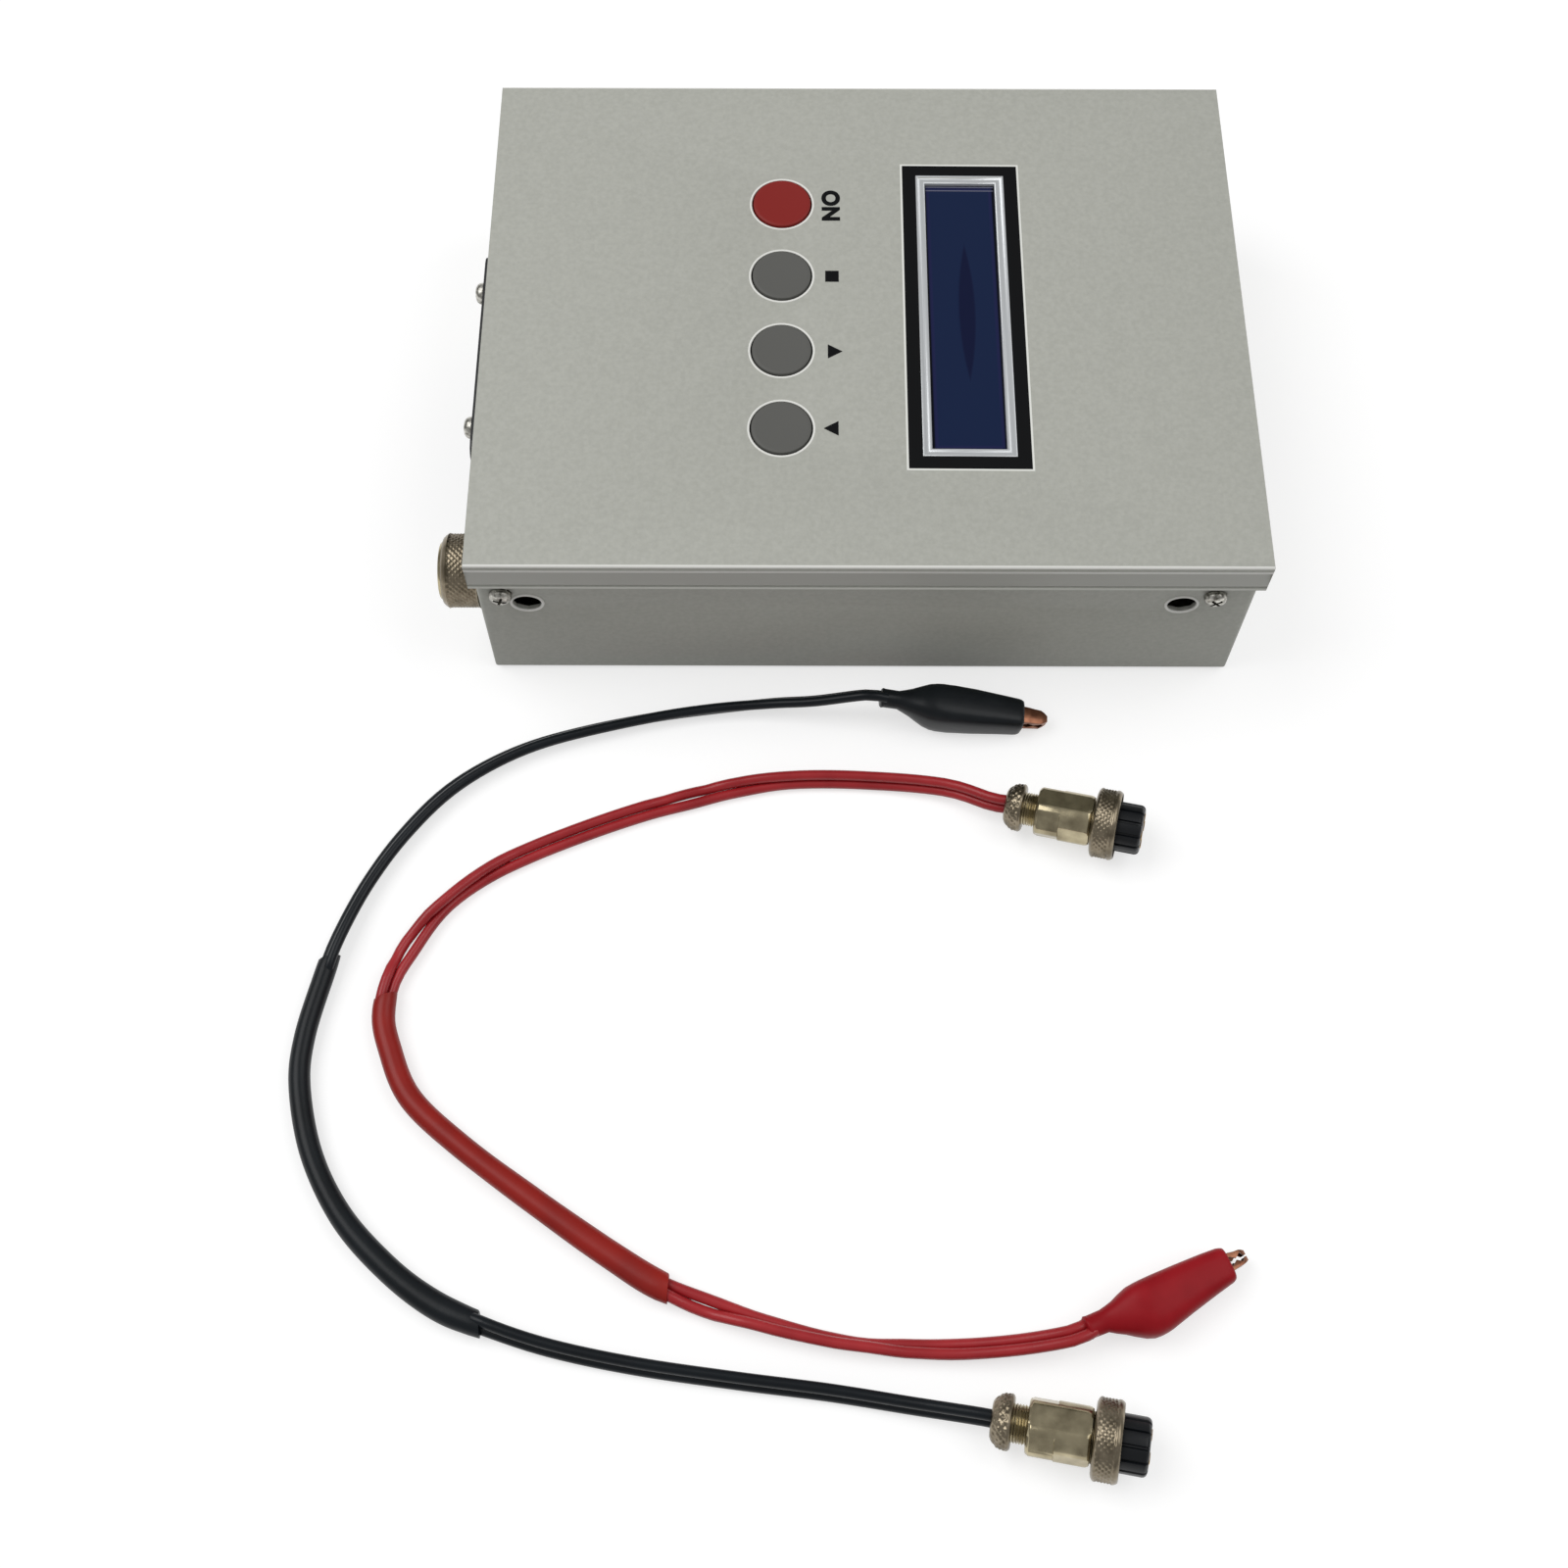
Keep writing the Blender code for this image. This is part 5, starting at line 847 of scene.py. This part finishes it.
# The boot's sections as (way along, half width, reach above, reach below, squareness), in mm.
BOOT_SECTIONS = (
    (0.0, 1.75, 1.85, 1.85, 2.0), (0.25, 1.95, 2.05, 2.05, 2.0), (0.7, 1.85, 1.95, 1.95, 2.0),
    (3.4, 1.8, 1.9, 2.1, 2.0), (4.6, 2.15, 2.1, 2.85, 2.15), (6.0, 2.6, 2.4, 3.6, 2.3),
    (7.5, 3.2, 2.95, 4.6, 2.5), (9.2, 3.85, 3.45, 5.6, 2.7), (10.6, 4.1, 3.55, 6.1, 2.9),
    (11.8, 4.2, 3.6, 6.2, 3.0), (13.0, 4.2, 3.6, 6.15, 3.0), (14.0, 4.2, 3.6, 6.0, 3.1),
    (18.5, 4.0, 3.5, 5.0, 3.2), (24.0, 3.5, 3.3, 3.9, 3.4), (26.8, 3.3, 3.1, 3.4, 3.4),
    (27.4, 3.2, 2.95, 3.3, 3.4), (27.8, 3.0, 2.8, 3.1, 3.4))
BOOT_WALL = 0.5
# The photograph has each clip 1 to 2 mm from its solid and turned a little, so the jaws' copies move
# with the boot. Each clip is (colour, solid's place, heading, tilt and roll, then the same of the
# visible clip, reach of the jaws past the pivot, stretch of the boot, finish of the boot).
CLIPS = (
    ("red", ((0.0414, -0.19035, 0.005196), 27.0, 3.715, -90.0),
     ((0.0407, -0.18935, 0.005101), 23.5, 3.434, -90.0), 0.0152, 1.0, red_boot),
    ("black", ((0.0072, -0.06985, 0.007256), -5.4, 7.4, 0.0),
     ((0.0074, -0.07065, 0.008565), -3.6, 10.574, 0.0), 0.0174, 1.03, black_boot))
PIVOT, SOLID_NOSE = 0.0165, 0.0172
UNTOUCHED, TAPER = 0.2, 0.32


def clip_seat(spot, heading, tilt, roll):
    """Where a clip lies, as one matrix."""
    return (Matrix.Translation(Vector(spot)) @ Matrix.Rotation(math.radians(heading), 4, "Z")
            @ Matrix.Rotation(math.radians(tilt), 4, "Y") @ Matrix.Rotation(math.radians(roll), 4, "X"))


for colour, solid_place, seen_place, nose, stretch, look in CLIPS:
    from_solid = clip_seat(*solid_place).inverted()
    seat = clip_seat(*seen_place)
    bm = bmesh.new()
    ring = bmesh.ops.create_circle(bm, segments=40, radius=1.0)["verts"]
    unit = [v.co.copy() for v in ring]
    edges = list(bm.edges)
    sections = [(*section, 0.0) for section in BOOT_SECTIONS]
    sections += [(*section, BOOT_WALL) for section in BOOT_SECTIONS[:3:-1]]
    for i, (x, half, above, below, square, inset) in enumerate(sections):
        if i:
            ring, edges = next_ring(bm, edges)
        for vert, flat in zip(ring, unit):
            y = math.copysign(abs(flat.x) ** (2 / square), flat.x) * (half - inset)
            tall = (above if flat.y > 0 else below) - inset
            z = math.copysign(abs(flat.y) ** (2 / square), flat.y) * tall
            vert.co = Vector((x * stretch, y, z)) / 1000
    bmesh.ops.holes_fill(bm, edges=[e for e in bm.edges if e.is_boundary], sides=0)
    bmesh.ops.recalc_face_normals(bm, faces=bm.faces)
    finished(bm, f"{colour}_moulded_boot", look, "tester", [f"{colour}_clip_boot"], seat, 70)
    for jaw, body in (("fixed", "tester"), ("moving", f"{colour}_clip_moving_jaw")):
        node = f"{colour}_clip_{jaw}_jaw"
        bm = eased_copy(node, 0.00006)
        for vert in bm.verts:
            local = from_solid @ vert.co
            share = (local.x - PIVOT) / SOLID_NOSE
            if share > UNTOUCHED:
                past = (share - UNTOUCHED) / (1 - UNTOUCHED)
                local.x = PIVOT + UNTOUCHED * SOLID_NOSE + past * (nose - UNTOUCHED * SOLID_NOSE)
                local.y *= 1 - TAPER * past ** 2
            vert.co = seat @ local
        finished(bm, f"{colour}_{jaw}_folded_jaw", copper, body, [node])


# What stays as the CAD has it
# The fan, its guard, the boards and their parts, the feet, the jack, and the clips' pins and
# springs have their right shape already and only need their finish.
fan_black, fan_shader = new_finish("black_moulded_abs", "#1B1D20", 0.42)
grain(fan_black, fan_shader, 0.7, 0.01)
rubber, rubber_shader = new_finish("black_moulded_rubber", "#1A1A1A", 0.8)
grain(rubber, rubber_shader, 0.6, 0.02)
board_green, board_shader = new_finish("green_solder_mask", "#1E5A36", 0.35)
grain(board_green, board_shader, 2.0, 0.02)
mottle(board_green, board_shader, "#174C2C", "#27693F", 3.0)
fin_metal, fin_shader = new_finish("extruded_aluminium", "#C2C4C6", 0.38, 1.0)
grain(fin_metal, fin_shader, 0.4, 0.006)
can_sleeve, can_shader = new_finish("shrunk_pet_sleeve", "#27416B", 0.3)
grain(can_sleeve, can_shader, 2.0, 0.01)
guard_black, guard_shader = new_finish("black_stamped_guard", "#2A2B2D", 0.4)
grain(guard_black, guard_shader, 0.7, 0.015)
AS_MODELLED = {
    "fan_frame": fan_black, "fan_rotor": fan_black, "fan_guard": guard_black, "power_jack": fan_black,
    "power_transistor": fan_black, "keypad_board": board_green, "main_board": board_green,
    "heat_sink": fin_metal, "filter_capacitor": can_sleeve,
    "foot_front_left": rubber, "foot_front_right": rubber,
    "foot_rear_left": rubber, "foot_rear_right": rubber,
    "red_clip_pin": zinc, "black_clip_pin": zinc, "red_clip_spring": zinc, "black_clip_spring": zinc,
}
for node, look in AS_MODELLED.items():
    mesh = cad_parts[node].data
    mesh.materials.clear()
    mesh.materials.append(look)


# Floor, backdrop and light
# A pale floor that the camera sees as almost white, with the object's soft shadow left on it, a
# white backdrop, and a large soft lamp high on each side of the case, the left one brighter.
FLOOR_HALF, BELOW_PART = 6.0, 0.0001
FLOOR_GLOW, SKY_LIGHT = 0.62, 0.42
LAMPS = (("key_lamp", 7.5, 0.9, (-0.7, 0.1, 1.1), (0.0, -0.08, 0.0)),
         ("fill_lamp", 4.5, 0.9, (0.75, 0.0, 1.1), (0.0, -0.1, 0.0)))
floor_mesh = bpy.data.meshes.new("floor")
bm = bmesh.new()
bmesh.ops.create_grid(bm, x_segments=1, y_segments=1, size=FLOOR_HALF)
bm.to_mesh(floor_mesh)
bm.free()
floor = bpy.data.objects.new("floor", floor_mesh)
bpy.context.scene.collection.objects.link(floor)
floor.location.z = -BELOW_PART
floor_look = bpy.data.materials.new("pale_floor")
floor_look.use_nodes = True
floor_shader = floor_look.node_tree.nodes["Principled BSDF"]
floor_shader.inputs["Base Color"].default_value = linear("#B9B9B9")
floor_shader.inputs["Roughness"].default_value = 0.9
floor_shader.inputs["Specular IOR Level"].default_value = 0.0
seen = add_node(floor_look, "ShaderNodeLightPath", {}, {})
seen_or_glossy = add_node(floor_look, "ShaderNodeMath", {"operation": "MAXIMUM"},
                          {0: seen.outputs["Is Camera Ray"], 1: seen.outputs["Is Glossy Ray"]})
seen_at_all = add_node(floor_look, "ShaderNodeMath", {"operation": "MAXIMUM"},
                       {0: seen_or_glossy.outputs[0], 1: seen.outputs["Is Transmission Ray"]})
glow = add_node(floor_look, "ShaderNodeMath", {"operation": "MULTIPLY"},
                {0: seen_at_all.outputs[0], 1: FLOOR_GLOW})
floor_shader.inputs["Emission Color"].default_value = (1, 1, 1, 1)
floor_look.node_tree.links.new(glow.outputs[0], floor_shader.inputs["Emission Strength"])
floor_mesh.materials.append(floor_look)

world = bpy.data.worlds.new("studio")
bpy.context.scene.world = world
world.use_nodes = True
sky = world.node_tree.nodes["Background"]
sky.inputs["Color"].default_value = (1, 1, 1, 1)
sky_seen = add_node(world, "ShaderNodeLightPath", {}, {})
sky_strength = add_node(world, "ShaderNodeMath", {"operation": "MAXIMUM"},
                        {0: sky_seen.outputs["Is Camera Ray"], 1: SKY_LIGHT})
world.node_tree.links.new(sky_strength.outputs[0], sky.inputs["Strength"])

for name, power, size, place, aim in LAMPS:
    lamp = bpy.data.lights.new(name, "AREA")
    lamp.energy = power
    lamp.size = size
    holder = bpy.data.objects.new(name, lamp)
    bpy.context.scene.collection.objects.link(holder)
    holder.location = place
    holder.rotation_euler = (Vector(aim) - Vector(place)).to_track_quat("-Z", "Y").to_euler()
